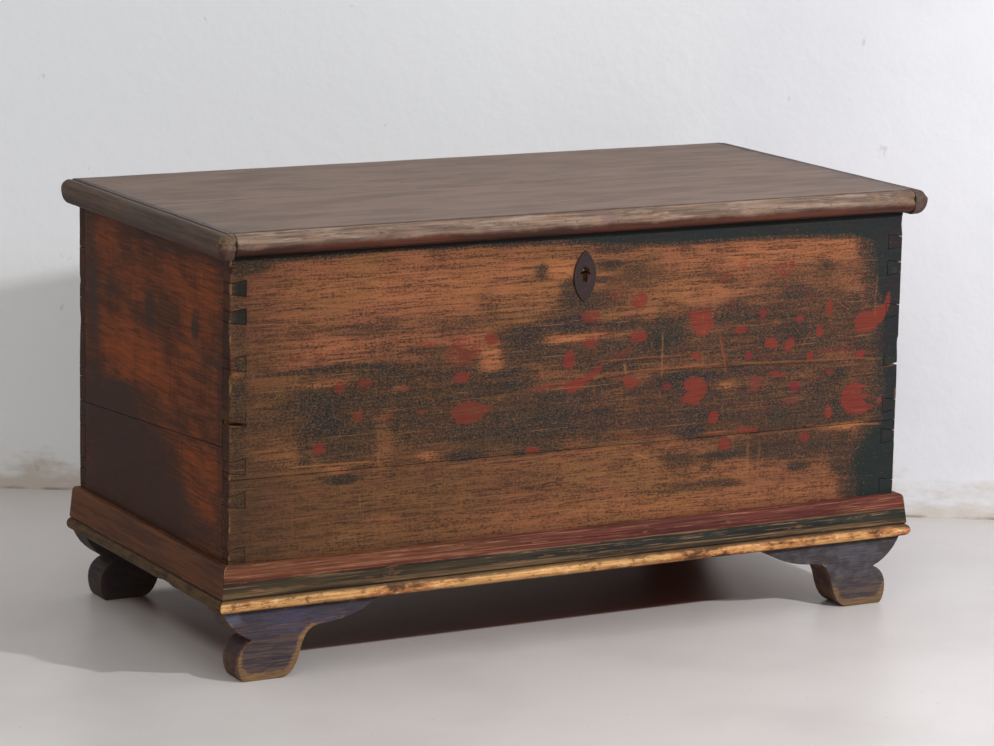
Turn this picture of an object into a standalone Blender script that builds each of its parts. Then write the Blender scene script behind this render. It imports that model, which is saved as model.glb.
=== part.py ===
"""Painted pine blanket chest: a dovetailed case on sawn feet, with a moulded lid and an iron lock.

The chest stands on z = 0 and its front faces -Y. Lengths are in metres.
"""
from math import asin, cos, pi, radians, sin

import bmesh
import bpy
from mathutils import Vector

# Case
CASE_WIDTH = 1.120
CASE_DEPTH = 0.544
WALL_HEIGHT = 0.486
SIDE_THICKNESS = 0.025
FRONT_THICKNESS = 0.023
BOTTOM_THICKNESS = 0.018
BOTTOM_BOARDS = 3
FIT = 0.0003
SAME_POINT = 0.000001

# Dovetails: the pins' places are shares of the walls' height, set out by eye as on the real chest
PIN_SHARES = (0.125, 0.285, 0.384, 0.534, 0.686, 0.822, 0.904)
PIN_NARROW = 0.015
PIN_WIDE = 0.023

# Where the two boards of a wall meet: between two pins, and how far up from the lower of them
FRONT_JOINT_BETWEEN = slice(1, 3)
FRONT_JOINT_LEFT = 0.62
FRONT_JOINT_RIGHT = 0.50
SIDE_JOINT_BETWEEN = slice(2, 4)
SIDE_JOINT_FRONT = 0.35
SIDE_JOINT_BACK = 0.40

# Plinth
PLINTH_HEIGHT = 0.066
PLINTH_FACE_TOP = 0.0125
PLINTH_FACE_FOOT = 0.0172
PLINTH_TOP_ROUND = 0.006
BEAD_RADIUS = 0.0096
BEAD_REACH = 0.0220
QUIRK_WIDTH = 0.0016

# Feet, sawn from thick plank
FOOT_HEIGHT = 0.104
FOOT_THICKNESS = 0.053
FOOT_LENGTH = 0.246
FOOT_OUTSET = 0.012
FOOT_FRONT_OUTSET = 0.007
FOOT_EDGE_WEAR = 0.0014

# Lid
LID_THICKNESS = 0.034
LID_OVERHANG = 0.0285
LID_BACK_OVERHANG = 0.002
LID_FRONT_BOARD = 0.292
LID_END_CLEARANCE = 0.002
GROOVE_START = 0.0090
GROOVE_WIDTH = 0.0050
GROOVE_DEPTH = 0.0014
NOSE_START = 0.0155
NOSE_UNDERSIDE = 0.0130
STRIP_DROP = 0.004
STRIP_CORNER_ROUND = 0.010

# Till at the left end
TILL_WIDTH = 0.130
TILL_DEPTH = 0.116
TILL_BELOW_RIM = 0.014
TILL_BOARD = 0.012
TILL_GROOVE = 0.007

# Hinges
HINGE_X = 0.335
HINGE_WIDTH = 0.034
HINGE_IRON = 0.0022
HINGE_PIN_RADIUS = 0.0025
HINGE_PIN_HEAD = 0.0038
HINGE_HEAD_LENGTH = 0.0016
HINGE_MIDDLE_KNUCKLE = 0.013
HINGE_CURL = radians(280)
HINGE_CURL_STEPS = 20
LID_STRAP_LENGTH = 0.270
LID_STRAP_TIP_WIDTH = 0.018
LID_STRAP_WAIST = 0.0245
LID_STRAP_TAPER = 0.35
CASE_STRAP_LENGTH = 0.092
CASE_STRAP_TIP_WIDTH = 0.024
CASE_STRAP_TAPER = 0.30
STRAP_TIP = ((0.0, 0.35), (0.3, 0.85), (0.9, 1.0))
HINGE_NOTCH_MARGIN = 0.0010

# Lock: an iron box, open towards the front wall's inner face, with ears for its nails
LOCK_X = 0.004
KEYHOLE_BELOW_RIM = 0.0560
LOCK_IRON = 0.0020
LOCK_DEPTH = 0.014
LOCK_LEFT = 0.062
LOCK_RIGHT = 0.030
LOCK_BELOW_KEYHOLE = 0.022
LOCK_BELOW_RIM = 0.0010
LOCK_EAR = 0.016
BOLT_BELOW_RIM = 0.0155
BOLT_HEIGHT = 0.010
BOLT_THICKNESS = 0.0090
BOLT_HEAD_THICKNESS = 0.0040
BOLT_TAIL = 0.060
BOLT_HEAD = 0.0145
BOLT_LEG_WIDTH = 0.014
BOLT_TALON_RADIUS = 0.0038
BOLT_TRAVEL = 0.0120
KEY_REACH = 0.0115
KEY_PIN_RADIUS = 0.0020
KEY_PIN_BELOW_FACE = 0.0030
KEY_PIN_STEPS = 14
KEEPER_PLACES = (-0.0450, -0.0250)
KEEPER_WIDTH = 0.0050
KEEPER_IRON = 0.0016
SPRING_IRON = 0.0008
SPRING_WIDTH = 0.0060

# Staple under the lid, which the bolt passes through
STAPLE_X = 0.0200
STAPLE_IRON = 0.0024
STAPLE_PLATE_LENGTH = 0.052
STAPLE_PLATE_WIDTH = 0.0116
STAPLE_THICKNESS = 0.0050
STAPLE_WALL = 0.0026
STAPLE_FOOT = 0.0030
STAPLE_GAP = 0.0012

# Escutcheon on the front
ESCUTCHEON_HEIGHT = 0.077
ESCUTCHEON_WIDTH = 0.037
ESCUTCHEON_IRON = 0.0018
ESCUTCHEON_EDGE = 0.0006
KEYHOLE_ROUND = 0.0056
KEYHOLE_SLOT = 0.0068
KEYHOLE_DROP = 0.0165
KEYHOLE_LOBE_REACH = 0.0088
KEYHOLE_LOBE_DROP = 0.0062
KEYHOLE_LOBE_WIDTH = 0.0024

# Places that follow from the sizes
HINGE_EYE_RADIUS = HINGE_PIN_RADIUS + FIT
HINGE_KNUCKLE_RADIUS = HINGE_EYE_RADIUS + HINGE_IRON
HINGE_MID_RADIUS = HINGE_EYE_RADIUS + HINGE_IRON / 2
WHOLE_DEPTH = LID_OVERHANG + CASE_DEPTH + FIT + 2 * HINGE_KNUCKLE_RADIUS
LEFT_X = -CASE_WIDTH / 2
RIGHT_X = CASE_WIDTH / 2
FRONT_Y = LID_OVERHANG - WHOLE_DEPTH / 2
BACK_Y = FRONT_Y + CASE_DEPTH
FRONT_INNER_Y = FRONT_Y + FRONT_THICKNESS
BACK_INNER_Y = BACK_Y - FRONT_THICKNESS
BASE_Z = FOOT_HEIGHT + FIT
WALL_Z = BASE_Z + BOTTOM_THICKNESS + FIT
RIM_Z = WALL_Z + WALL_HEIGHT
LID_Z = RIM_Z + FIT
LID_BACK_Y = BACK_Y + LID_BACK_OVERHANG
LID_END_X = CASE_WIDTH / 2 + LID_END_CLEARANCE
KEY_Z = RIM_Z - KEYHOLE_BELOW_RIM
LOCK_FRONT_Y = FRONT_INNER_Y + FIT
LOCK_BACK_Y = LOCK_FRONT_Y + LOCK_DEPTH
LOCK_TOP_Z = RIM_Z - LOCK_BELOW_RIM

# Hinge axis: the lid's strap lies against the lid, the case's strap against the back
HINGE_Y = BACK_Y + FIT + HINGE_KNUCKLE_RADIUS
HINGE_Z = LID_Z - FIT - HINGE_KNUCKLE_RADIUS

COLOURS = {
    "bare_pine": ((0.42, 0.25, 0.13), 0.75, 0.0),
    "dark_green_paint": ((0.045, 0.060, 0.058), 0.70, 0.0),
    "worn_front_paint": ((0.24, 0.125, 0.055), 0.70, 0.0),
    "red_brown_paint": ((0.17, 0.062, 0.030), 0.70, 0.0),
    "red_stripe_paint": ((0.25, 0.062, 0.038), 0.68, 0.0),
    "blue_violet_paint": ((0.085, 0.080, 0.125), 0.72, 0.0),
    "grey_brown_wood": ((0.235, 0.175, 0.140), 0.72, 0.0),
    "black_iron": ((0.045, 0.038, 0.034), 0.55, 0.85),
    "bright_iron": ((0.28, 0.26, 0.24), 0.40, 0.95),
}


def clear_scene():
    for item in list(bpy.data.objects):
        bpy.data.objects.remove(item, do_unlink=True)


def material(name):
    if name in bpy.data.materials:
        return bpy.data.materials[name]
    colour, roughness, metallic = COLOURS[name]
    made = bpy.data.materials.new(name)
    made.use_nodes = True
    shader = made.node_tree.nodes["Principled BSDF"]
    shader.inputs["Base Color"].default_value = (*colour, 1.0)
    shader.inputs["Roughness"].default_value = roughness
    shader.inputs["Metallic"].default_value = metallic
    return made


def own_material(name, kind):
    """A material of its own for each sub-part, with the colour of its kind."""
    made = material(kind).copy()
    made.name = name + "_finish"
    return made


def lofted(name, loops, kind, origin=(0.0, 0.0, 0.0), parent=None):
    """A closed body through loops of points that all have the same number of points."""
    start = Vector(origin)
    shape = bmesh.new()
    rings = [[shape.verts.new(Vector(point) - start) for point in loop] for loop in loops]
    count = len(rings[0])
    for near, far in zip(rings, rings[1:]):
        for i in range(count):
            j = (i + 1) % count
            shape.faces.new((near[i], near[j], far[j], far[i]))
    shape.faces.new(rings[0])
    shape.faces.new(reversed(rings[-1]))
    bmesh.ops.remove_doubles(shape, verts=shape.verts, dist=SAME_POINT)
    bmesh.ops.recalc_face_normals(shape, faces=shape.faces)
    mesh = bpy.data.meshes.new(name)
    shape.to_mesh(mesh)
    shape.free()
    item = bpy.data.objects.new(name, mesh)
    bpy.context.scene.collection.objects.link(item)
    item.location = start
    if kind:
        mesh.materials.append(own_material(name, kind))
    if parent:
        item.parent = parent
        item.location = start - parent.location
    return item


def at(axis, a, b, level):
    """The point with a and b in the plane across an axis, at a level along it."""
    if axis == "x":
        return (level, a, b)
    if axis == "y":
        return (a, level, b)
    return (a, b, level)


def board(name, outline, axis, low, high, kind, **placing):
    """A straight body: an outline in the plane across an axis, between two levels along it."""
    loops = [[at(axis, a, b, level) for a, b in outline] for level in (low, high)]
    return lofted(name, loops, kind, **placing)


def rectangle(a_low, a_high, b_low, b_high):
    return [(a_low, b_low), (a_high, b_low), (a_high, b_high), (a_low, b_high)]


def block(name, x, y, z, kind, **placing):
    return board(name, rectangle(*x, *y), "z", *z, kind, **placing)


def cutter(item):
    item.hide_render = True
    item.display_type = "WIRE"
    return item


def cut(item, tool, operation="DIFFERENCE"):
    step = item.modifiers.new(tool.name, "BOOLEAN")
    step.operation = operation
    step.solver = "EXACT"
    step.object = tool
    cutter(tool)


def bevel(item, width, segments=2, angle=40):
    step = item.modifiers.new("worn_edges", "BEVEL")
    step.width = width
    step.segments = segments
    step.limit_method = "ANGLE"
    step.angle_limit = radians(angle)


def smooth(item, angle=35):
    item.data.shade_smooth()
    item.data.set_sharp_from_angle(angle=radians(angle))


def bezier(start, pull, reach, end, steps):
    """Points along a cubic curve, without its last point."""
    points = []
    for i in range(steps):
        t = i / steps
        s = 1 - t
        weights = (s * s * s, 3 * s * s * t, 3 * s * t * t, t * t * t)
        knots = (start, pull, reach, end)
        points.append(tuple(sum(w * k[n] for w, k in zip(weights, knots)) for n in (0, 1)))
    return points


def arc(centre, radius, first, last, steps):
    """Points along an arc, both ends with it, angles in radians."""
    points = []
    for i in range(steps + 1):
        angle = first + (last - first) * i / steps
        points.append((centre[0] + radius * cos(angle), centre[1] + radius * sin(angle)))
    return points


def ring(centre, radius, steps):
    return arc(centre, radius, 0.0, 2 * pi * (steps - 1) / steps, steps - 1)


def pin_heights(flipped=False):
    shares = [1 - share for share in reversed(PIN_SHARES)] if flipped else PIN_SHARES
    return [WALL_Z + share * WALL_HEIGHT for share in shares]


def joint_height(pins, between, lean):
    """Where two boards of a wall meet: a share of the way between two neighbouring pins."""
    low, high = pins[between]
    return low + lean * (high - low)


def socket_end(x, inward, pins):
    """The end of a tail board from bottom to top: a socket for each pin of the side wall."""
    depth = x + inward * (SIDE_THICKNESS + FIT)
    narrow = PIN_NARROW / 2 + FIT
    wide = PIN_WIDE / 2 + FIT
    points = []
    for z in pins:
        points += [(x, z - narrow), (depth, z - wide), (depth, z + wide), (x, z + narrow)]
    return points


def tail_board(name, y, flipped, low, high, kind):
    """A board of the front or back wall; low and high are its edge heights at left and right."""
    pins = pin_heights(flipped)
    left = [z for z in pins if low[0] < z < high[0]]
    right = [z for z in pins if low[1] < z < high[1]]
    outline = [(LEFT_X, low[0])] + socket_end(LEFT_X, 1, left) + [(LEFT_X, high[0])]
    outline += [(RIGHT_X, high[1])] + socket_end(RIGHT_X, -1, right)[::-1] + [(RIGHT_X, low[1])]
    return board(name, outline, "y", y, y + FRONT_THICKNESS, kind)


def pin_end(y_end, y_body, pins, half):
    """The end of a side wall from bottom to top: one pin after the other."""
    points = []
    for z in pins:
        points += [(y_body, z - half), (y_end, z - half), (y_end, z + half), (y_body, z + half)]
    return points


def pin_board(name, side, low, high, kind):
    """A board of a side wall; low and high are its edge heights at front and back."""
    body_front = FRONT_INNER_Y + FIT
    body_back = BACK_INNER_Y - FIT
    front = [z for z in pin_heights() if low[0] < z < high[0]]
    back = [z for z in pin_heights(True) if low[1] < z < high[1]]
    loops = []
    for x, width in ((side * RIGHT_X, PIN_NARROW), (side * (RIGHT_X - SIDE_THICKNESS), PIN_WIDE)):
        outline = [(body_front, low[0])] + pin_end(FRONT_Y, body_front, front, width / 2)
        outline += [(body_front, high[0]), (body_back, high[1])]
        outline += pin_end(BACK_Y, body_back, back, width / 2)[::-1] + [(body_back, low[1])]
        loops.append([(x, y, z) for y, z in outline])
    return lofted(name, loops, kind)


def keyhole_outline(clearance=0.0):
    """A round hole worn into a lobe on each side, with a slot below it, about the key's centre."""
    half = KEYHOLE_SLOT / 2 + clearance
    reach = KEYHOLE_LOBE_REACH + clearance
    low = KEYHOLE_LOBE_DROP + clearance
    edge = KEYHOLE_LOBE_WIDTH / 2 + clearance
    points = arc((LOCK_X, KEY_Z), KEYHOLE_ROUND + clearance, 0.0, pi, 16)
    left = [(-reach, edge - low), (edge - reach, -low), (-half, edge - low), (-half, -KEYHOLE_DROP)]
    right = [(-x, z) for x, z in reversed(left)]
    points += [(LOCK_X + x, KEY_Z + z) for x, z in left + right]
    return points


def till_groove(name, low_y, high_y):
    """The L-shaped groove that holds the ends of the till's two boards."""
    outer_x = LEFT_X + SIDE_THICKNESS - FIT
    inner_x = LEFT_X + SIDE_THICKNESS + TILL_WIDTH
    top = RIM_Z + FIT
    floor = RIM_Z - TILL_BELOW_RIM - TILL_DEPTH - TILL_BOARD
    outline = [(outer_x, floor - FIT), (inner_x + TILL_BOARD + FIT, floor - FIT),
               (inner_x + TILL_BOARD + FIT, top), (inner_x - FIT, top),
               (inner_x - FIT, floor + TILL_BOARD + FIT), (outer_x, floor + TILL_BOARD + FIT)]
    return board(name, outline, "y", low_y, high_y, None)


def make_front_wall():
    pins = pin_heights()
    left = joint_height(pins, FRONT_JOINT_BETWEEN, FRONT_JOINT_LEFT)
    right = joint_height(pins, FRONT_JOINT_BETWEEN, FRONT_JOINT_RIGHT)
    tail_board("front_lower_board", FRONT_Y, False, (WALL_Z, WALL_Z), (left, right), "worn_front_paint")
    upper = tail_board("front_upper_board", FRONT_Y, False, (left + FIT, right + FIT),
                       (RIM_Z, RIM_Z), "worn_front_paint")
    keyhole = board("keyhole_cutter", keyhole_outline(2 * FIT), "y", FRONT_Y - LOCK_IRON,
                    FRONT_INNER_Y + LOCK_IRON, None)
    groove = till_groove("front_till_groove_cutter", FRONT_INNER_Y - TILL_GROOVE - FIT,
                         FRONT_INNER_Y + 2 * FIT)
    cut(upper, keyhole)
    cut(upper, groove)


def make_back_wall():
    pins = pin_heights(True)
    level = joint_height(pins, SIDE_JOINT_BETWEEN, SIDE_JOINT_BACK)
    tail_board("back_lower_board", BACK_INNER_Y, True, (WALL_Z, WALL_Z), (level, level), "bare_pine")
    upper = tail_board("back_upper_board", BACK_INNER_Y, True, (level + FIT, level + FIT),
                       (RIM_Z, RIM_Z), "bare_pine")
    groove = till_groove("back_till_groove_cutter", BACK_INNER_Y - 2 * FIT,
                         BACK_INNER_Y + TILL_GROOVE + FIT)
    cut(upper, groove)
    half = HINGE_WIDTH / 2 + HINGE_NOTCH_MARGIN
    for side, word in ((-1, "left"), (1, "right")):
        x = side * HINGE_X
        notch = block(word + "_hinge_notch_cutter", (x - half, x + half),
                      (BACK_INNER_Y - FIT, BACK_Y + FIT),
                      (RIM_Z - HINGE_IRON - 2 * FIT, RIM_Z + HINGE_IRON), None)
        cut(upper, notch)


def make_side_walls():
    front = joint_height(pin_heights(), SIDE_JOINT_BETWEEN, SIDE_JOINT_FRONT)
    back = joint_height(pin_heights(True), SIDE_JOINT_BETWEEN, SIDE_JOINT_BACK)
    for side, word in ((-1, "left"), (1, "right")):
        pin_board(word + "_lower_board", side, (WALL_Z, WALL_Z), (front, back - FIT), "red_brown_paint")
        pin_board(word + "_upper_board", side, (front + FIT, back), (RIM_Z, RIM_Z), "red_brown_paint")


def make_bottom():
    width = CASE_DEPTH / BOTTOM_BOARDS
    for i in range(BOTTOM_BOARDS):
        low = FRONT_Y + i * width
        block("bottom_board_%d" % (i + 1), (LEFT_X, RIGHT_X), (low + FIT / 2, low + width - FIT / 2),
              (BASE_Z, BASE_Z + BOTTOM_THICKNESS), "bare_pine")


def plinth_profile():
    """Pairs of reach from the case and height above the plinth's foot, from foot to top."""
    centre = (BEAD_REACH - BEAD_RADIUS, BEAD_RADIUS)
    bead = arc(centre, BEAD_RADIUS, -pi / 2, pi * 0.42, 9)
    quirk_low = 2 * BEAD_RADIUS
    quirk_high = quirk_low + QUIRK_WIDTH
    quirk = [(PLINTH_FACE_FOOT - QUIRK_WIDTH, quirk_low),
             (PLINTH_FACE_FOOT - QUIRK_WIDTH / 2, quirk_high),
             (PLINTH_FACE_FOOT, quirk_high)]
    turn = (PLINTH_FACE_TOP - PLINTH_TOP_ROUND, PLINTH_HEIGHT - PLINTH_TOP_ROUND)
    top = arc(turn, PLINTH_TOP_ROUND, radians(8), pi / 2, 5)
    return [(FIT, 0.0)] + bead + quirk + top + [(FIT, PLINTH_HEIGHT)]


def make_plinth():
    """Three mouldings, mitred at the front corners and square at the back."""
    profile = plinth_profile()
    ends = []
    for side in (-1, 1):
        mitre_x = side * (RIGHT_X - FIT / 2)
        ends.append([(mitre_x + side * reach, FRONT_Y - reach, BASE_Z + z) for reach, z in profile])
    smooth(lofted("plinth_front", ends, "red_stripe_paint"))
    for side, word in ((-1, "left"), (1, "right")):
        mitre = [(side * (RIGHT_X + reach), FRONT_Y - reach + FIT / 2, BASE_Z + z) for reach, z in profile]
        square = [(side * (RIGHT_X + reach), BACK_Y, BASE_Z + z) for reach, z in profile]
        smooth(lofted("plinth_" + word, [mitre, square], "red_brown_paint"))


def foot_outline():
    """The sawn scroll, as shares of the foot's length and height, from the outer top corner."""
    corner = (0.0, 1.0)
    notch = (0.188, 0.572)
    ball = (0.098, 0.265)
    toe = (0.132, 0.0)
    heel = (0.372, 0.0)
    ankle = (0.490, 0.290)
    wing = (0.615, 0.692)
    tip = (0.985, 0.960)
    points = bezier(corner, (0.035, 0.790), (0.110, 0.640), notch, 6)
    points += bezier(notch, (0.135, 0.530), (0.098, 0.420), ball, 5)
    points += bezier(ball, (0.098, 0.130), (0.110, 0.050), toe, 4)
    points += [toe]
    points += bezier(heel, (0.430, 0.005), (0.468, 0.110), ankle, 5)
    points += bezier(ankle, (0.508, 0.480), (0.530, 0.665), wing, 6)
    points += bezier(wing, (0.760, 0.700), (0.880, 0.780), tip, 7)
    points += [tip, (1.0, 1.0)]
    return points


def make_feet():
    outline = foot_outline()
    front_y = FRONT_Y - FOOT_FRONT_OUTSET
    rows = (("front", front_y), ("back", BACK_Y - FOOT_THICKNESS))
    for row, y in rows:
        for side, word in ((-1, "left"), (1, "right")):
            shape = []
            for share, height in outline:
                x = side * (RIGHT_X + FOOT_OUTSET - share * FOOT_LENGTH)
                shape.append((x, height * FOOT_HEIGHT))
            foot = board("foot_%s_%s" % (row, word), shape, "y", y, y + FOOT_THICKNESS, "blue_violet_paint")
            bevel(foot, FOOT_EDGE_WEAR, angle=50)
            smooth(foot)


def nose_profile(drop):
    """The lid's moulded edge: reach past the case and height over the lid's underside, top to bottom."""
    top = LID_THICKNESS
    groove_end = GROOVE_START + GROOVE_WIDTH
    full = 0.60 * LID_THICKNESS
    points = [(GROOVE_START, top), (GROOVE_START + GROOVE_DEPTH, top - GROOVE_DEPTH),
              (groove_end - GROOVE_DEPTH, top - GROOVE_DEPTH), (groove_end, top - GROOVE_DEPTH / 2)]
    shoulder = (NOSE_START, top - GROOVE_DEPTH / 2)
    swell = 0.75 * LID_OVERHANG
    points += bezier(shoulder, (swell, shoulder[1]), (LID_OVERHANG, top - 0.18 * LID_THICKNESS),
                     (LID_OVERHANG, full), 6)
    points += bezier((LID_OVERHANG, full), (LID_OVERHANG, 0.26 * LID_THICKNESS), (0.83 * LID_OVERHANG, -drop),
                     (NOSE_UNDERSIDE, -drop), 6)
    points += [(NOSE_UNDERSIDE, -drop)]
    return points


def make_lid(hinge):
    """Two long boards with the moulding worked on the front one, and a moulded strip on each end."""
    split = FRONT_Y - LID_OVERHANG + LID_FRONT_BOARD
    section = [(split, LID_Z + LID_THICKNESS)]
    section += [(FRONT_Y - reach, LID_Z + z) for reach, z in nose_profile(0.0)]
    section += [(split, LID_Z)]
    front = board("lid_front_board", section, "x", -LID_END_X, LID_END_X, "grey_brown_wood",
                  origin=hinge.location, parent=hinge)
    smooth(front)
    staple_x = LOCK_X + STAPLE_X
    half_length = STAPLE_PLATE_LENGTH / 2 + FIT
    half_width = STAPLE_PLATE_WIDTH / 2 + FIT
    recess = block("staple_recess_cutter", (staple_x - half_length, staple_x + half_length),
                   (staple_y() - half_width, staple_y() + half_width),
                   (LID_Z - STAPLE_IRON, LID_Z + STAPLE_IRON + FIT), None)
    cut(front, recess)
    block("lid_back_board", (-LID_END_X, LID_END_X), (split + FIT, LID_BACK_Y),
          (LID_Z, LID_Z + LID_THICKNESS), "grey_brown_wood", origin=hinge.location, parent=hinge)
    for side, word in ((-1, "left"), (1, "right")):
        make_end_strip(word, side, hinge)


def make_end_strip(word, side, hinge):
    """The moulding runs down the strip and turns round its front corner, which is worn round."""
    profile = nose_profile(STRIP_DROP)
    inner = LID_END_X + FIT
    turn_y = FRONT_Y - LID_OVERHANG + 2 * STRIP_CORNER_ROUND

    def section(inner_y, places):
        top = (inner, inner_y, LID_THICKNESS)
        bottom = (inner, inner_y, -STRIP_DROP)
        return [top] + [(x, y, z) for (x, y), (_, z) in zip(places, profile)] + [bottom]

    def around(angle):
        places = []
        for reach, _ in profile:
            radius = STRIP_CORNER_ROUND * reach / LID_OVERHANG
            centre = (RIGHT_X + reach - radius, FRONT_Y - reach + radius)
            places.append((centre[0] + radius * cos(angle), centre[1] + radius * sin(angle)))
        return places

    steps = 6
    sections = [section(LID_BACK_Y, [(RIGHT_X + reach, LID_BACK_Y) for reach, _ in profile])]
    sections += [section(turn_y, around(-pi / 2 * i / steps)) for i in range(steps + 1)]
    sections += [section(turn_y, [(inner, FRONT_Y - reach) for reach, _ in profile])]
    loops = [[(side * x, y, LID_Z + z) for x, y, z in loop] for loop in sections]
    strip = lofted("lid_strip_" + word, loops, "grey_brown_wood", origin=hinge.location, parent=hinge)
    smooth(strip)


def make_till():
    x = LEFT_X + SIDE_THICKNESS + TILL_WIDTH
    floor = RIM_Z - TILL_BELOW_RIM - TILL_DEPTH
    ends = (FRONT_INNER_Y - TILL_GROOVE, BACK_INNER_Y + TILL_GROOVE)
    block("till_bottom", (LEFT_X + SIDE_THICKNESS + FIT, x + TILL_BOARD), ends,
          (floor - TILL_BOARD, floor), "bare_pine")
    block("till_front", (x, x + TILL_BOARD), ends, (floor + FIT, RIM_Z - TILL_BELOW_RIM), "bare_pine")


def ribbon(name, path, x_centre, widths, thickness, kind, **placing):
    """A strip of iron along a path in the plane across X, with its width at each point."""
    loops = []
    for i, (y, z) in enumerate(path):
        before = Vector(path[max(i - 1, 0)])
        after = Vector(path[min(i + 1, len(path) - 1)])
        along = (after - before).normalized()
        normal = Vector((-along.y, along.x)) * (thickness / 2)
        half = widths[i] / 2
        corners = ((-half, -1), (half, -1), (half, 1), (-half, 1))
        loops.append([(x_centre + x, y + sign * normal.x, z + sign * normal.y) for x, sign in corners])
    return lofted(name, loops, kind, **placing)


def knuckle_cuts(word, x_centre, middle):
    """Blocks that clear the knuckles of the other strap: the middle one, or the two outer ones."""
    reach = HINGE_KNUCKLE_RADIUS + 2 * FIT
    half_middle = HINGE_MIDDLE_KNUCKLE / 2
    half_width = HINGE_WIDTH / 2 + HINGE_NOTCH_MARGIN
    if middle:
        spans = [(-half_middle - FIT / 2, half_middle + FIT / 2)]
    else:
        spans = [(-half_width, -half_middle + FIT / 2), (half_middle - FIT / 2, half_width)]
    tools = []
    for i, (low, high) in enumerate(spans):
        tools.append(block("%s_knuckle_cutter_%d" % (word, i + 1), (x_centre + low, x_centre + high),
                           (HINGE_Y - reach, HINGE_Y + reach), (HINGE_Z - reach, HINGE_Z + reach), None))
    return tools


def strap_widths(tip_width):
    return [share * tip_width for _, share in STRAP_TIP]


def make_lid_strap(word, x, hinge):
    """Under the lid from its pointed tip to the back, then rolled round the pin."""
    tip_y = HINGE_Y - LID_STRAP_LENGTH
    z = HINGE_Z + HINGE_MID_RADIUS
    curl = arc((HINGE_Y, HINGE_Z), HINGE_MID_RADIUS, pi / 2, pi / 2 - HINGE_CURL, HINGE_CURL_STEPS)
    path = [(tip_y + share * LID_STRAP_TIP_WIDTH, z) for share, _ in STRAP_TIP]
    path += [(HINGE_Y - LID_STRAP_TAPER * LID_STRAP_LENGTH, z)] + curl
    widths = strap_widths(LID_STRAP_TIP_WIDTH) + [LID_STRAP_WAIST] + [HINGE_WIDTH] * len(curl)
    strap = ribbon("hinge_%s_lid_strap" % word, path, x, widths, HINGE_IRON, "black_iron",
                   origin=hinge.location, parent=hinge)
    for tool in knuckle_cuts(word + "_lid_strap", x, False):
        cut(strap, tool)
    smooth(strap)


def make_case_strap(word, x):
    """Up the back of the case from its pointed tip, then rolled round the pin."""
    tip_z = HINGE_Z - CASE_STRAP_LENGTH
    y = HINGE_Y - HINGE_MID_RADIUS
    curl = arc((HINGE_Y, HINGE_Z), HINGE_MID_RADIUS, pi, pi - HINGE_CURL, HINGE_CURL_STEPS)
    path = [(y, tip_z + share * CASE_STRAP_TIP_WIDTH) for share, _ in STRAP_TIP]
    path += [(y, HINGE_Z - CASE_STRAP_TAPER * CASE_STRAP_LENGTH)] + curl
    widths = strap_widths(CASE_STRAP_TIP_WIDTH) + [HINGE_WIDTH] * (len(curl) + 1)
    strap = ribbon("hinge_%s_case_strap" % word, path, x, widths, HINGE_IRON, "black_iron")
    for tool in knuckle_cuts(word + "_case_strap", x, True):
        cut(strap, tool)
    smooth(strap)


def make_hinges(hinge):
    for side, word in ((-1, "left"), (1, "right")):
        make_lid_strap(word, side * HINGE_X, hinge)
        make_case_strap(word, side * HINGE_X)
        make_hinge_pin(word, side * HINGE_X)


def make_hinge_pin(word, x):
    """A pin with a hammered head at each end."""
    half = HINGE_WIDTH / 2 + FIT
    shoulder = half + HINGE_HEAD_LENGTH / 2
    head = half + HINGE_HEAD_LENGTH
    right = [(half, HINGE_PIN_RADIUS), (half, HINGE_PIN_HEAD), (shoulder, HINGE_PIN_HEAD),
             (head, HINGE_PIN_HEAD / 2)]
    profile = [(-along, radius) for along, radius in reversed(right)] + right
    loops = []
    for along, radius in profile:
        loops.append([(x + along, y, z) for y, z in ring((HINGE_Y, HINGE_Z), radius, HINGE_CURL_STEPS)])
    smooth(lofted("hinge_%s_pin" % word, loops, "black_iron"))


def staple_y():
    """The middle of the lock, where the staple drops in and the bolt's head passes."""
    return LOCK_BACK_Y - LOCK_DEPTH / 2


def bolt_z():
    return RIM_Z - BOLT_BELOW_RIM - BOLT_HEIGHT


def make_staple(hinge):
    """A plate let into the lid, with a tongue whose eye takes the bolt's head."""
    x = LOCK_X + STAPLE_X
    y = staple_y()
    half_length = STAPLE_PLATE_LENGTH / 2
    half_width = STAPLE_PLATE_WIDTH / 2
    plate = block("lid_staple", (x - half_length, x + half_length), (y - half_width, y + half_width),
                  (LID_Z, LID_Z + STAPLE_IRON), "black_iron", origin=hinge.location, parent=hinge)
    eye_low = bolt_z() - 2 * FIT
    eye_high = bolt_z() + BOLT_HEIGHT + 2 * FIT
    half_tongue = LOCK_DEPTH / 2 - STAPLE_GAP
    tongue = block("staple_tongue_cutter", (x - STAPLE_THICKNESS / 2, x + STAPLE_THICKNESS / 2),
                   (y - half_tongue, y + half_tongue),
                   (eye_low - STAPLE_FOOT, LID_Z + STAPLE_IRON / 2), None)
    cut(plate, tongue, "UNION")
    half_eye = half_tongue - STAPLE_WALL
    eye = block("staple_eye_cutter", (x - STAPLE_THICKNESS, x + STAPLE_THICKNESS),
                (y - half_eye, y + half_eye), (eye_low, eye_high), None)
    cut(plate, eye)


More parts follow.
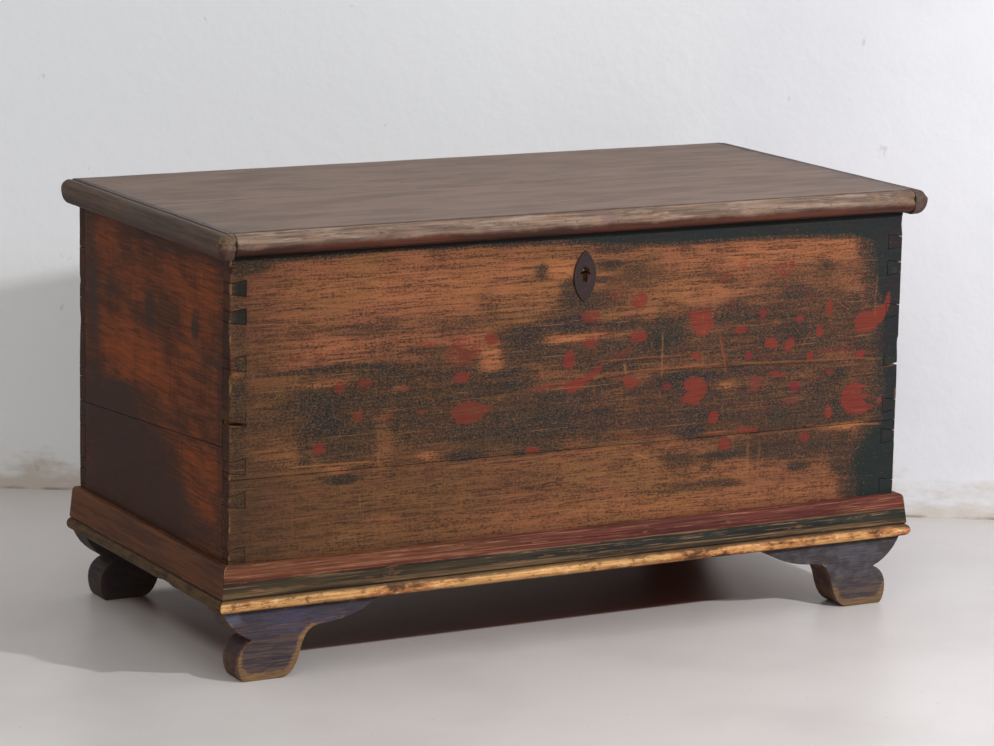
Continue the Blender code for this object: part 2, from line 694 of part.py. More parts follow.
def make_lock_case():
    """The lock's box with a slot in its top for the staple, and an ear on each side against the wall."""
    left = LOCK_X - LOCK_LEFT
    right = LOCK_X + LOCK_RIGHT
    low = KEY_Z - LOCK_BELOW_KEYHOLE
    high = LOCK_TOP_Z - LOCK_IRON
    case = block("lock_case", (left - LOCK_IRON, right + LOCK_IRON), (LOCK_FRONT_Y, LOCK_BACK_Y + LOCK_IRON),
                 (low - LOCK_IRON, LOCK_TOP_Z), "black_iron")
    ears = block("lock_ears_cutter", (left - LOCK_IRON - LOCK_EAR, right + LOCK_IRON + LOCK_EAR),
                 (LOCK_FRONT_Y, LOCK_FRONT_Y + LOCK_IRON), (low + LOCK_EAR, LOCK_TOP_Z - LOCK_EAR), None)
    cut(case, ears, "UNION")
    inside = block("lock_inside_cutter", (left, right), (LOCK_FRONT_Y - LOCK_IRON, LOCK_BACK_Y),
                   (low, high), None)
    cut(case, inside)
    x = LOCK_X + STAPLE_X
    half_length = STAPLE_THICKNESS / 2 + STAPLE_GAP
    half_slot = LOCK_DEPTH / 2 - STAPLE_GAP / 3
    slot = block("staple_slot_cutter", (x - half_length, x + half_length),
                 (staple_y() - half_slot, staple_y() + half_slot),
                 (high - LOCK_IRON, LOCK_TOP_Z + LOCK_IRON), None)
    cut(case, slot)


def make_bolt(slide):
    """The bolt, drawn back: a bar with a thinner head, and a leg that the key's bit pushes."""
    low = bolt_z()
    high = low + BOLT_HEIGHT
    leg_low = KEY_Z + KEY_REACH
    leg_x = LOCK_X - BOLT_TRAVEL / 2
    left = leg_x - BOLT_LEG_WIDTH / 2
    right = leg_x + BOLT_LEG_WIDTH / 2
    tail = LOCK_X - BOLT_TAIL
    head = LOCK_X + BOLT_HEAD
    talon = arc((leg_x, leg_low), BOLT_TALON_RADIUS, pi, 0.0, 8)
    outline = [(tail, low), (left, low), (left, leg_low)] + talon
    outline += [(right, leg_low), (right, low), (head, low), (head, high), (tail, high)]
    back = LOCK_BACK_Y - FIT
    bolt = board("lock_bolt", outline, "y", back - BOLT_THICKNESS, back, "bright_iron",
                 origin=slide.location, parent=slide)
    head_back = staple_y() + BOLT_HEAD_THICKNESS / 2
    thinning = block("bolt_head_cutter", (right + FIT, head + BOLT_HEIGHT), (head_back, back + LOCK_IRON),
                     (low - BOLT_HEIGHT, high + BOLT_HEIGHT), None)
    cut(bolt, thinning)


def make_key_pin():
    """The pin that a hollow key turns on, riveted to the plate behind the keyhole."""
    tip = FRONT_Y + KEY_PIN_BELOW_FACE
    profile = [(LOCK_BACK_Y - FIT, KEY_PIN_RADIUS), (tip + KEY_PIN_RADIUS / 2, KEY_PIN_RADIUS),
               (tip, KEY_PIN_RADIUS / 2)]
    loops = []
    for y, radius in profile:
        loops.append([(x, y, z) for x, z in ring((LOCK_X, KEY_Z), radius, KEY_PIN_STEPS)])
    smooth(lofted("lock_key_pin", loops, "bright_iron"))


def make_keepers():
    """Two bent straps riveted to the lock's back, which the bolt slides in."""
    back = LOCK_BACK_Y - FIT
    inner_y = back - BOLT_THICKNESS - FIT
    outer_y = inner_y - KEEPER_IRON
    low = bolt_z() - FIT
    high = bolt_z() + BOLT_HEIGHT + FIT
    section = [(back, low - KEEPER_IRON), (back, low), (inner_y, low), (inner_y, high), (back, high),
               (back, high + KEEPER_IRON), (outer_y, high + KEEPER_IRON), (outer_y, low - KEEPER_IRON)]
    for i, place in enumerate(KEEPER_PLACES):
        low_x = LOCK_X + place - KEEPER_WIDTH / 2
        board("lock_keeper_%d" % (i + 1), section, "x", low_x, low_x + KEEPER_WIDTH, "black_iron")


def make_spring():
    """A leaf spring that bears on the bolt between its keepers and keeps it where the key left it."""
    bolt_top = bolt_z() + BOLT_HEIGHT
    touch = bolt_top + FIT + SPRING_IRON / 2
    over_keeper = bolt_top + 2 * FIT + KEEPER_IRON + SPRING_IRON
    under_top = LOCK_TOP_Z - LOCK_IRON - FIT - SPRING_IRON / 2
    first = LOCK_X - LOCK_LEFT + 2 * KEEPER_IRON
    bend = first + SPRING_WIDTH
    first_keeper = LOCK_X + KEEPER_PLACES[0] + KEEPER_WIDTH
    middle = LOCK_X + sum(KEEPER_PLACES) / 2
    last = LOCK_X + KEEPER_PLACES[1] - KEEPER_WIDTH
    quarter = SPRING_WIDTH / 4
    path = [(first, under_top)]
    path += bezier((first + quarter, under_top), (bend, under_top), (bend, over_keeper),
                   (first_keeper, over_keeper), 8)
    path += bezier((first_keeper, over_keeper), (middle - 2 * quarter, over_keeper),
                   (middle - 2 * quarter, touch), (middle, touch), 6)
    path += bezier((middle, touch), (middle + quarter, touch), (last, touch + SPRING_IRON),
                   (last, over_keeper), 4)
    back = LOCK_BACK_Y - FIT
    loops = []
    for i, (x, z) in enumerate(path):
        before = Vector(path[max(i - 1, 0)])
        after = Vector(path[min(i + 1, len(path) - 1)])
        along = (after - before).normalized()
        normal = Vector((-along.y, along.x)) * (SPRING_IRON / 2)
        corners = ((-SPRING_WIDTH, -1), (0.0, -1), (0.0, 1), (-SPRING_WIDTH, 1))
        loops.append([(x + sign * normal.x, back + y, z + sign * normal.y) for y, sign in corners])
    smooth(lofted("lock_spring", loops, "bright_iron"))


def make_escutcheon():
    """A pointed oval of iron round the keyhole, from two arcs."""
    half_height = ESCUTCHEON_HEIGHT / 2
    half_width = ESCUTCHEON_WIDTH / 2
    centre_z = KEY_Z - KEYHOLE_DROP / 2
    radius = (half_height ** 2 + half_width ** 2) / (2 * half_width)
    swing = asin(half_height / radius)
    right = arc((LOCK_X - radius + half_width, centre_z), radius, -swing, swing, 14)
    left = [(2 * LOCK_X - x, 2 * centre_z - z) for x, z in right]
    outline = right[:-1] + left[:-1]
    plate = board("escutcheon", outline, "y", FRONT_Y - FIT - ESCUTCHEON_IRON, FRONT_Y - FIT, "black_iron")
    keyhole = board("escutcheon_keyhole_cutter", keyhole_outline(), "y",
                    FRONT_Y - 3 * ESCUTCHEON_IRON, FRONT_Y + ESCUTCHEON_IRON, None)
    cut(plate, keyhole)
    bevel(plate, ESCUTCHEON_EDGE)


def guide(name, location):
    """An empty on a joint's axis, which carries the pieces that move with it."""
    empty = bpy.data.objects.new(name, None)
    empty.empty_display_size = LID_THICKNESS
    empty.location = location
    bpy.context.scene.collection.objects.link(empty)
    return empty


def main():
    clear_scene()
    hinge = guide("lid_axis", (0.0, HINGE_Y, HINGE_Z))
    slide = guide("bolt_axis", (LOCK_X, LOCK_BACK_Y - BOLT_THICKNESS / 2, bolt_z() + BOLT_HEIGHT / 2))
    make_front_wall()
    make_back_wall()
    make_side_walls()
    make_bottom()
    make_plinth()
    make_feet()
    make_lid(hinge)
    make_till()
    make_hinges(hinge)
    make_staple(hinge)
    make_lock_case()
    make_bolt(slide)
    make_key_pin()
    make_keepers()
    make_spring()
    make_escutcheon()
    bpy.context.view_layer.update()


main()
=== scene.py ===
from functools import reduce
from itertools import product
from math import atan2, cos, pi, radians, sin

import bmesh
import bpy
import numpy as np
from mathutils import Matrix, Vector
from mathutils.kdtree import KDTree


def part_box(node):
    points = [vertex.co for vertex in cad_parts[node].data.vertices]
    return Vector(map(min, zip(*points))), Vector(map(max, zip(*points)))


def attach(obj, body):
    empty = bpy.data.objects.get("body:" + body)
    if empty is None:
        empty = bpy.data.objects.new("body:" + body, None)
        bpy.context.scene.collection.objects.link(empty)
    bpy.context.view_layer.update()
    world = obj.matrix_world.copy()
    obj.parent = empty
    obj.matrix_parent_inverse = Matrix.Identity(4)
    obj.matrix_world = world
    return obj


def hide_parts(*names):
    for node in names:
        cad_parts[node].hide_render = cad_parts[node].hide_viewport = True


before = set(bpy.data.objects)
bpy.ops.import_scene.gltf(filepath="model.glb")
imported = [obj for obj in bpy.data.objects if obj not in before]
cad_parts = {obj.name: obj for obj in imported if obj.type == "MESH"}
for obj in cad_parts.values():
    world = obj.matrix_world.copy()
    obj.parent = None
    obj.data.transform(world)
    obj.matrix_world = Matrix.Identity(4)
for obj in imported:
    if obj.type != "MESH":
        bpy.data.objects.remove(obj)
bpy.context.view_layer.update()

# Places read from the frame
WALL_LOW, WALL_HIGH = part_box("front_upper_board")
LEFT_X, FRONT_Y = WALL_LOW.x, WALL_LOW.y
RIGHT_X, RIM_Z = WALL_HIGH.x, WALL_HIGH.z
BACK_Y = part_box("back_upper_board")[1].y
LID_LOW, LID_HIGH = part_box("lid_front_board")
PLINTH_LOW, PLINTH_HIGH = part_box("plinth_front")

WELD = 0.00001
FLAT = radians(0.4)
SHARP = radians(35)
FACING = 0.7
FLAT_ON = 0.8
FAR_OFF = 10.0


# Noise in numbers, for shapes

def hashed(cell, seed):
    value = np.sin(cell @ np.array((127.1, 311.7, 74.7)) + seed * 53.9) * 43758.5453
    return value - np.floor(value)


def lumps(points, size, seed):
    """Smooth noise from -1 to 1 at each point, in lumps of about this size along each axis."""
    scaled = points / np.array(size) + 0.37 * seed
    cell = np.floor(scaled)
    part = scaled - cell
    part = part * part * (3 - 2 * part)
    total = np.zeros(len(points))
    for corner in product((0, 1), repeat=3):
        weight = np.prod(np.where(corner, part, 1 - part), axis=1)
        total += weight * hashed(cell + corner, seed)
    return 2 * total - 1


def ramp_up(value, low, high):
    """0 below low, 1 above high, and a smooth step between them."""
    share = np.clip((value - low) / (high - low), 0, 1)
    return share * share * (3 - 2 * share)


# Worn copies of the CAD nodes

def face_parts(faces):
    """Faces with their corners and edges, each once and always in the same order."""
    return list(dict.fromkeys(part for face in faces for part in (*face.verts, *face.edges))) + list(faces)


def divide(mesh, faces, axis, levels):
    """Cuts these faces across an axis at each level, the middle level first."""
    if not levels or not faces:
        return
    middle = len(levels) // 2
    level = levels[middle]
    normal = Vector([float(i == axis) for i in range(3)])
    made = bmesh.ops.bisect_plane(mesh, geom=face_parts(faces), plane_co=normal * level, plane_no=normal,
                                  dist=WELD / 4)
    sides = ([], [])
    for part in made["geom"]:
        if isinstance(part, bmesh.types.BMFace):
            sides[part.calc_center_median()[axis] > level].append(part)
    divide(mesh, sides[0], axis, levels[:middle])
    divide(mesh, sides[1], axis, levels[middle + 1:])


def levels_between(low, high, step, margins=(), extra=()):
    """Even levels between two ends, with closer ones by the ends and any extra ones."""
    count = max(int(round((high - low) / step)), 1)
    found = [low + (high - low) * i / count for i in range(1, count)]
    found = [level for level in found if all(abs(level - other) > step / 4 for other in extra)]
    found += [low + margin for margin in margins] + [high - margin for margin in margins]
    found += [level for level in extra if low < level < high]
    return sorted(found)


def is_sharp(edge):
    return len(edge.link_faces) == 2 and edge.calc_face_angle(0.0) > SHARP


def edge_tree(mesh, spacing=0.003):
    """Points along the sharp edges of a mesh, to measure how far a place is from an edge."""
    places = [Vector((0, 0, FAR_OFF))]
    for edge in filter(is_sharp, mesh.edges):
        first, last = (vertex.co for vertex in edge.verts)
        count = max(int((last - first).length / spacing), 1)
        places += [first.lerp(last, i / count) for i in range(count + 1)]
    tree = KDTree(len(places))
    for i, spot in enumerate(places):
        tree.insert(spot, i)
    tree.balance()
    return tree


def fine_copy(node, steps, edge_round, margins=(), fine=None, extra=None):
    """A copy of a CAD node with softened edges and small faces, as a bmesh, with its edges' places.

    fine is a direction and its own steps, for the side that shows most."""
    mesh = bmesh.new()
    mesh.from_mesh(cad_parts[node].data)
    bmesh.ops.remove_doubles(mesh, verts=mesh.verts, dist=WELD)
    bmesh.ops.dissolve_limit(mesh, angle_limit=FLAT, verts=mesh.verts, edges=mesh.edges)
    tree = edge_tree(mesh)
    if edge_round:
        edges = [edge for edge in mesh.edges if is_sharp(edge) and edge.is_convex]
        bmesh.ops.bevel(mesh, geom=edges, offset=edge_round, segments=2, profile=0.5, affect="EDGES",
                        clamp_overlap=True)
        bmesh.ops.remove_doubles(mesh, verts=mesh.verts, dist=WELD)
    low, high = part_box(node)
    extra = extra or {}
    for axis in range(3):
        every = mesh.faces[:]
        shown = []
        if fine:
            shown = [face for face in every if face.normal.dot(Vector(fine[0])) > FACING]
            levels = levels_between(low[axis], high[axis], fine[1][axis], margins, extra.get(axis, ()))
            divide(mesh, shown, axis, levels)
        chosen = set(shown)
        others = [face for face in every if face not in chosen]
        divide(mesh, others, axis, levels_between(low[axis], high[axis], steps[axis], margins))
    return mesh, tree


def rounded(points, sides, radius):
    """Moves points into a rounded corner between two flat sides: (axis, level, sign) twice."""
    (i, level_i, sign_i), (j, level_j, sign_j) = sides
    a = radius - sign_i * (level_i - points[:, i])
    b = radius - sign_j * (level_j - points[:, j])
    length = np.hypot(a, b)
    inside = (a > 0) & (b > 0) & (length > radius)
    scale = np.where(inside, radius / np.maximum(length, WELD), 1.0)
    points[:, i] += np.where(inside, sign_i * (a * scale - a), 0.0)
    points[:, j] += np.where(inside, sign_j * (b * scale - b), 0.0)


def reshape(mesh, change):
    """Moves a mesh's points to where change puts them, from their places and outward directions."""
    mesh.normal_update()
    points = np.array([vertex.co for vertex in mesh.verts])
    outward = np.array([vertex.normal for vertex in mesh.verts])
    points = change(points, outward)
    for vertex, point in zip(mesh.verts, points):
        vertex.co = point
    return points, outward


def finished(name, mesh, finish, body, tree=None, stands_for=(), measures=None):
    """Turns a bmesh into a shown piece that rides on a body, with its measures for the finish."""
    measures = measures or {}
    if tree is not None:
        measures = {"edge": [tree.find(vertex.co)[2] for vertex in mesh.verts], **measures}
    data = bpy.data.meshes.new(name)
    mesh.to_mesh(data)
    mesh.free()
    data.shade_smooth()
    data.set_sharp_from_angle(angle=SHARP)
    for key, values in measures.items():
        data.attributes.new(key, "FLOAT", "POINT").data.foreach_set("value", np.asarray(values, np.float32))
    data.materials.append(finish)
    piece = bpy.data.objects.new(name, data)
    bpy.context.scene.collection.objects.link(piece)
    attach(piece, body)
    if stands_for:
        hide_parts(*stands_for)
    return piece


def worn_piece(node, finish, number, body, steps, edge_round, depth, margins=(), on_face=False):
    """Stands for a CAD node with a copy of it that is worn inwards by a depth at each point."""
    mesh, tree = fine_copy(node, steps, edge_round, margins)
    outward = reshape(mesh, lambda points, out: points - out * depth(points)[:, None])[1]
    measures = {"on_face": (np.abs(outward[:, 1]) > FLAT_ON).astype(float)} if on_face else None
    finished(node + "_worn", mesh, for_board(finish, number), body, tree, (node,), measures)


# Nodes for finishes

BOARD_SHIFT = "board_shift"


def tint(red, green, blue):
    """A colour from its display values, 0 to 255."""
    shares = np.array((red, green, blue)) / 255
    linear = np.where(shares <= 0.04045, shares / 12.92, ((shares + 0.055) / 1.055) ** 2.4)
    return (*linear.tolist(), 1.0)


class Nodes:
    """Short calls that build a node tree. Each gives the new node's result."""

    def __init__(self, tree):
        self.tree = tree

    def new(self, kind, inputs=(), **settings):
        node = self.tree.nodes.new("ShaderNode" + kind)
        for key, value in settings.items():
            setattr(node, key, value)
        for key, value in dict(inputs).items():
            self.link(value, node.inputs[key])
        return node

    def link(self, value, socket):
        """Sets a number or colour, or links a result. (value, low, high) stands for its step."""
        if isinstance(value, tuple) and isinstance(value[0], bpy.types.NodeSocket):
            value = self.step(*value)
        if isinstance(value, bpy.types.NodeSocket):
            self.tree.links.new(value, socket)
        else:
            socket.default_value = value

    def split(self, vector):
        return self.new("SeparateXYZ", {0: vector}).outputs

    def math(self, operation, a, b=0.0, clamp=False):
        return self.new("Math", {0: a, 1: b}, operation=operation, use_clamp=clamp).outputs[0]

    def size(self, value):
        return self.math("ABSOLUTE", value)

    def most(self, a, b):
        return self.math("MAXIMUM", a, b)

    def add(self, *values):
        return reduce(lambda total, value: self.math("ADD", total, value), values)

    def times(self, *values):
        return reduce(lambda product, value: self.math("MULTIPLY", product, value), values)

    def weighed(self, *parts):
        """A sum of values, each with its weight."""
        return self.add(*(self.times(*part) for part in parts))

    def ramp(self, value, low, high, start=0.0, end=1.0):
        """A smooth step from start at low to end at high."""
        return self.new("MapRange", {0: value, 1: low, 2: high, 3: start, 4: end},
                        interpolation_type="SMOOTHSTEP").outputs[0]

    def step(self, value, low, high):
        """0 at low, 1 at high, smooth between; low may be above high."""
        if low > high:
            return self.math("SUBTRACT", 1.0, self.ramp(value, high, low))
        return self.ramp(value, low, high)

    def band(self, value, low, high, soft):
        return self.times((value, low - soft, low + soft), (value, high + soft, high - soft))

    def centred(self, value, amount):
        """Noise about 0, as much as amount either way."""
        return self.times(self.math("SUBTRACT", value, 0.5), amount * 2)

    def vary(self, value, *noises):
        """A value with noises added, each with its amount either way."""
        return self.add(value, *(self.centred(*noise) for noise in noises))

    def mix(self, share, a, b, blend="MIX"):
        return self.new("Mix", {0: share, 6: a, 7: b}, data_type="RGBA", blend_type=blend,
                        clamp_factor=True).outputs[2]

    def blend(self, share, a, b):
        """A number between two numbers."""
        return self.new("Mix", {0: share, 2: a, 3: b}, data_type="FLOAT", clamp_factor=True).outputs[0]

    def tones(self, value, low, high, at_low, at_high):
        """A colour between two display colours, by a smooth step."""
        return self.mix((value, low, high), tint(*at_low), tint(*at_high))

    def darker(self, colour, share, amount):
        """The colour with its dark share multiplied down by an amount."""
        grey = (1 - amount, 1 - amount, 1 - amount, 1.0)
        return self.mix(share, colour, self.mix(1.0, colour, grey, "MULTIPLY"))

    def lay(self, colour, *coats):
        """Lays coats over a colour: a share, an amount and a display colour each. A coat without a
        colour darkens."""
        for share, amount, *over in coats:
            if over:
                colour = self.mix(self.times(share, amount), colour, tint(*over))
            else:
                colour = self.darker(colour, share, amount)
        return colour


class Finish(Nodes):
    """Builds one material from nodes."""

    def __init__(self, name, seed=0.0):
        self.material = bpy.data.materials.new(name)
        self.material.use_nodes = True
        super().__init__(self.material.node_tree)
        self.shader = self.tree.nodes["Principled BSDF"]
        here = self.new("TexCoord").outputs["Object"]
        shift = self.new("VectorMath", {0: here, 1: (1.3 * seed, 0.7 * seed, 2.1 * seed)}, operation="ADD")
        shift.name = BOARD_SHIFT
        self.shifted = shift.outputs[0]
        self.x, self.y, self.z = self.split(here)

    def scaled(self, scale, turn=(0, 0, 0)):
        return self.new("Mapping", {"Vector": self.shifted, "Scale": scale, "Rotation": turn}).outputs[0]

    def noise(self, x, y, z, detail=3, roughness=0.55, turn=(0, 0, 0)):
        """Noise from about 0 to 1, with so many lumps per metre along each axis."""
        return self.new("TexNoise", {"Vector": self.scaled((x, y, z), turn), "Scale": 1, "Detail": detail,
                                     "Roughness": roughness}).outputs["Fac"]

    def along(self, axis, long, across, detail, roughness):
        """Noise drawn out along one axis."""
        return self.noise(*(long if i == axis else across for i in range(3)), detail, roughness)

    def measure(self, key):
        return self.new("Attribute", attribute_name=key).outputs["Fac"]

    def rings(self, axis, spacing, wander=0.006, centre=(0.0, 0.0)):
        """Growth rings of a board sawn along an axis: 0 in the pale wood to 1 in the dark lines."""
        slow = [2.8 if i == axis else 8.8 for i in range(3)]
        wobble = self.new("TexNoise", {"Vector": self.scaled(slow), "Scale": 1, "Detail": 2})
        moved = self.new("VectorMath", {0: wobble.outputs["Color"], 1: (wander * 6,) * 3, 2: self.shifted},
                         operation="MULTIPLY_ADD").outputs[0]
        a, b = (self.math("SUBTRACT", value, middle) for value, middle in zip(
            [value for i, value in enumerate(self.split(moved)) if i != axis], centre))
        radius = self.math("SQRT", self.add(self.times(a, a), self.times(b, b)))
        share = self.math("FRACT", self.math("DIVIDE", radius, spacing))
        return self.times((share, 0.45, 0.92), (share, 1.0, 0.93))

    def finish(self, colour, roughness, height, depth=0.0004, metallic=0.0, shine=0.22):
        bump = self.new("Bump", {"Distance": depth, "Strength": 1.0, "Height": height})
        for key, value in (("Base Color", colour), ("Specular IOR Level", shine), ("Roughness", roughness),
                           ("Metallic", metallic), ("Normal", bump.outputs[0])):
            self.link(value, self.shader.inputs[key])
        return self.material


def for_board(material, number):
    """The same finish for another board, with the grain in another place."""
    made = material.copy()
    made.name = "%s_%d" % (material.name, number)
    shift = made.node_tree.nodes[BOARD_SHIFT].inputs[1]
    shift.default_value = (0.83 * number, 0.31 * number, 0.47 * number)
    return made


# Painted ornament and wear, as places and sizes. The tables are in millimetres and per cent.

DIVISORS = {"m": 1000, "%": 100, "d": 1}


def measured(kinds, rows):
    """Rows in metres and shares, from rows in millimetres (m), per cent (%) and degrees (d)."""
    return [tuple(value / DIVISORS[kind] for kind, value in zip(kinds, row)) for row in rows]


# Patches of old dark paint: x, z, half width, half height, how much is left
DARK_PATCHES = measured("mmmm%", (
    (-330, 375, 175, 60, 44), (-415, 392, 58, 16, 62), (-410, 360, 26, 20, 85), (-140, 395, 62, 11, 62),
    (-245, 454, 38, 6, 45), (-400, 437, 105, 4, 60), (-385, 277, 24, 7, 85), (-390, 317, 32, 9, 50),
    (-188, 295, 24, 7, 55), (-70, 292, 34, 8, 55), (-100, 335, 110, 36, 46), (-95, 461, 36, 14, 78),
    (-12, 473, 43, 11, 75), (145, 447, 36, 27, 82), (70, 467, 42, 8, 55), (-50, 438, 70, 8, 45),
    (42, 381, 30, 7, 70), (165, 376, 50, 15, 85), (97, 365, 20, 6, 55), (-20, 367, 42, 8, 55),
    (42, 341, 11, 6, 65), (195, 298, 21, 9, 75), (45, 558, 19, 7, 80), (58, 580, 36, 5, 65),
    (33, 537, 14, 4, 70), (-20, 525, 17, 17, 60), (15, 508, 48, 14, 50), (-65, 556, 10, 11, 90),
    (-25, 483, 26, 5, 55), (185, 212, 85, 8, 32), (175, 257, 26, 13, 42), (-90, 250, 40, 15, 24),
    (365, 445, 145, 46, 50), (270, 389, 22, 6, 70), (205, 383, 45, 7, 60), (375, 435, 17, 18, 55),
    (450, 365, 21, 11, 80), (345, 309, 16, 11, 65), (245, 257, 37, 6, 72), (220, 241, 11, 5, 70),
    (400, 305, 150, 20, 42), (385, 229, 17, 7, 72), (475, 223, 28, 14, 60), (20, 330, 130, 30, 33),
    (330, 350, 150, 45, 30), (424, 535, 7, 5, 80), (375, 495, 28, 11, 38), (265, 470, 25, 22, 40),
    (180, 330, 60, 30, 34), (400, 262, 120, 14, 45), (503, 420, 30, 80, 42), (100, 545, 42, 28, 26),
    (-250, 492, 220, 13, 22), (-546, 420, 12, 200, 35), (-535, 590, 35, 9, 55), (250, 340, 350, 90, 12),
    (-445, 330, 12, 30, 35), (60, 402, 40, 7, 45), (320, 270, 50, 10, 35), (240, 220, 60, 16, 20),
    (-120, 425, 220, 22, 30), (90, 425, 110, 24, 34), (400, 525, 150, 24, 22), (390, 246, 130, 26, 36),
    (215, 300, 34, 18, 42), (465, 300, 40, 20, 35),
))
SPREAD = 0.21
LOW_SPREAD = 0.09

# Places rubbed down to bright bare wood: x, z, half width, half height, how much
BARE_PATCHES = measured("mmmm%", (
    (-12, 453, 48, 5, 90), (478, 283, 44, 4.5, 100), (-148, 437, 19, 19, 90), (300, 190, 240, 12, 35),
    (-20, 195, 280, 18, 30), (-250, 300, 15, 7, 80), (-160, 548, 120, 35, 40), (-340, 552, 150, 34, 30),
    (-35, 555, 26, 13, 90), (360, 560, 160, 17, 50), (200, 512, 90, 14, 35), (-480, 328, 40, 22, 35),
    (270, 232, 110, 12, 40), (-400, 470, 55, 10, 40), (250, 361, 20, 6, 60), (172, 588, 13, 6, 90),
    (-329, 552, 10, 13, 50), (-320, 330, 13, 45, 40), (500, 500, 14, 40, 50), (-550, 452, 8, 18, 90),
    (-415, 418, 40, 5, 70), (-295, 403, 12, 7, 60), (-390, 293, 16, 7, 70), (-320, 213, 35, 7, 35),
))

# The dark border's lower edge along the top, and its inner edge down the right side
BORDER_EDGE = measured("mm", (
    (-560, 602), (-454, 604), (-300, 607), (-218, 605), (-39, 602), (90, 588), (198, 587), (373, 585),
    (470, 580), (515, 566), (560, 560),
))
RIGHT_EDGE = measured("mm", (
    (165, 500), (200, 498), (225, 492), (255, 505), (285, 540), (340, 543), (400, 534), (470, 534),
    (500, 522), (560, 517), (610, 512),
))

# Small red petals: x, z, half width, half height, turn in degrees, how much is left, how crimson
PETALS = measured("mmmmd%%", (
    (-19, 422, 10, 15, 0, 90, 30), (18, 447, 14, 8, 0, 65, 30), (15, 485, 15, 10, 0, 60, 30),
    (98, 502, 14, 12, 20, 75, 10), (60, 515, 14, 14, 0, 45, 50), (98, 448, 14, 8, 0, 85, 10),
    (-78, 293, 12, 5, 0, 85, 10), (150, 370, 7, 6, 0, 65, 90), (197, 412, 10, 6, 0, 100, 0),
    (275, 446, 9, 6, 15, 90, 40), (313, 466, 6, 11, -10, 85, 90), (330, 422, 12, 8, -12, 92, 10),
    (362, 417, 7, 11, -30, 85, 10), (379, 455, 9, 7, -20, 92, 20), (416, 432, 7, 11, 12, 90, 20),
    (432, 470, 7, 12, 0, 75, 0), (290, 405, 7, 7, 0, 98, 100), (399, 395, 8, 8, 0, 90, 10),
    (490, 393, 7, 7, 0, 98, 30), (342, 373, 14, 5, -8, 80, 20), (305, 361, 10, 14, -25, 60, 70),
    (374, 351, 9, 8, 0, 75, 90), (438, 369, 11, 4, -12, 60, 30), (232, 317, 9, 9, 0, 98, 20),
    (436, 308, 7, 11, 10, 95, 10), (252, 274, 11, 9, 0, 98, 20), (395, 273, 12, 9, 0, 60, 50),
    (368, 331, 16, 6, 0, 50, 90), (278, 545, 9, 11, 0, 52, 10), (245, 527, 7, 10, 0, 50, 10),
    (350, 560, 5, 10, 10, 42, 10), (258, 487, 13, 8, 0, 42, 70), (396, 490, 11, 8, 0, 42, 60),
    (-148, 462, 11, 8, 0, 80, 0), (-196, 411, 14, 9, 0, 75, 30), (-420, 325, 10, 8, 0, 80, 20),
    (-389, 410, 9, 10, 0, 62, 40), (-350, 414, 12, 5, 0, 62, 40), (-361, 366, 7, 5, 0, 60, 10),
    (-315, 363, 10, 4, 0, 60, 30), (-287, 400, 6, 5, 0, 60, 10), (-260, 366, 5, 3, 0, 60, 10),
    (-192, 450, 30, 22, 0, 50, 20), (110, 299, 48, 2.2, -2, 85, 10), (295, 291, 19, 2.8, -6, 85, 20),
    (232, 291, 16, 1.8, 0, 55, 0), (70, 425, 20, 4, 30, 60, 60), (-60, 384, 50, 4, 2, 55, 0),
    (40, 456, 20, 3, 0, 50, 10), (440, 402, 30, 4, 0, 45, 90), (-250, 332, 28, 3, 0, 50, 0),
    (150, 414, 30, 1.8, 0, 55, 10), (330, 400, 40, 4, -10, 35, 80), (-430, 458, 45, 7, 0, 36, 0),
    (-250, 461, 14, 3, 0, 65, 0), (465, 400, 16, 3, 20, 55, 90),
))

# Larger blossoms and leaves: corners (x, z), how much is left, how crimson
BLOSSOMS = [(measured("mm", corners), left / 100, red / 100) for corners, left, red in (
    (((180, 481), (222, 481), (227, 462), (219, 445), (207, 438), (195, 449), (188, 463)), 82, 10),
    (((480, 450), (485, 458), (515, 461), (532, 467), (537, 488), (541, 488), (541, 462), (528, 441),
      (510, 427), (494, 424), (481, 431)), 84, 10),
    (((457, 322), (462, 343), (478, 350), (508, 345), (486, 333), (524, 328), (494, 320), (526, 311),
      (500, 300), (470, 302)), 86, 20),
    (((522, 318), (533, 331), (535, 315), (529, 311)), 75, 20),
    (((-27, 384), (-18, 391), (5, 393), (20, 402), (34, 414), (43, 412), (31, 399), (22, 391), (0, 378),
      (-12, 370), (-21, 371)), 88, 20),
    (((66, 391), (82, 390), (104, 381), (96, 373), (82, 371), (74, 380)), 95, 10),
    (((176, 366), (180, 377), (194, 382), (210, 380), (221, 364), (215, 350), (201, 338), (184, 342),
      (171, 347), (186, 358)), 88, 10),
    (((161, 373), (163, 370), (186, 376), (186, 381)), 80, 10),
    (((-214, 361), (-195, 372), (-185, 377), (-165, 370), (-143, 362), (-160, 350), (-175, 342),
      (-202, 340)), 62, 10),
    (((324, 541), (366, 542), (369, 530), (350, 518), (341, 518)), 52, 10),
)]

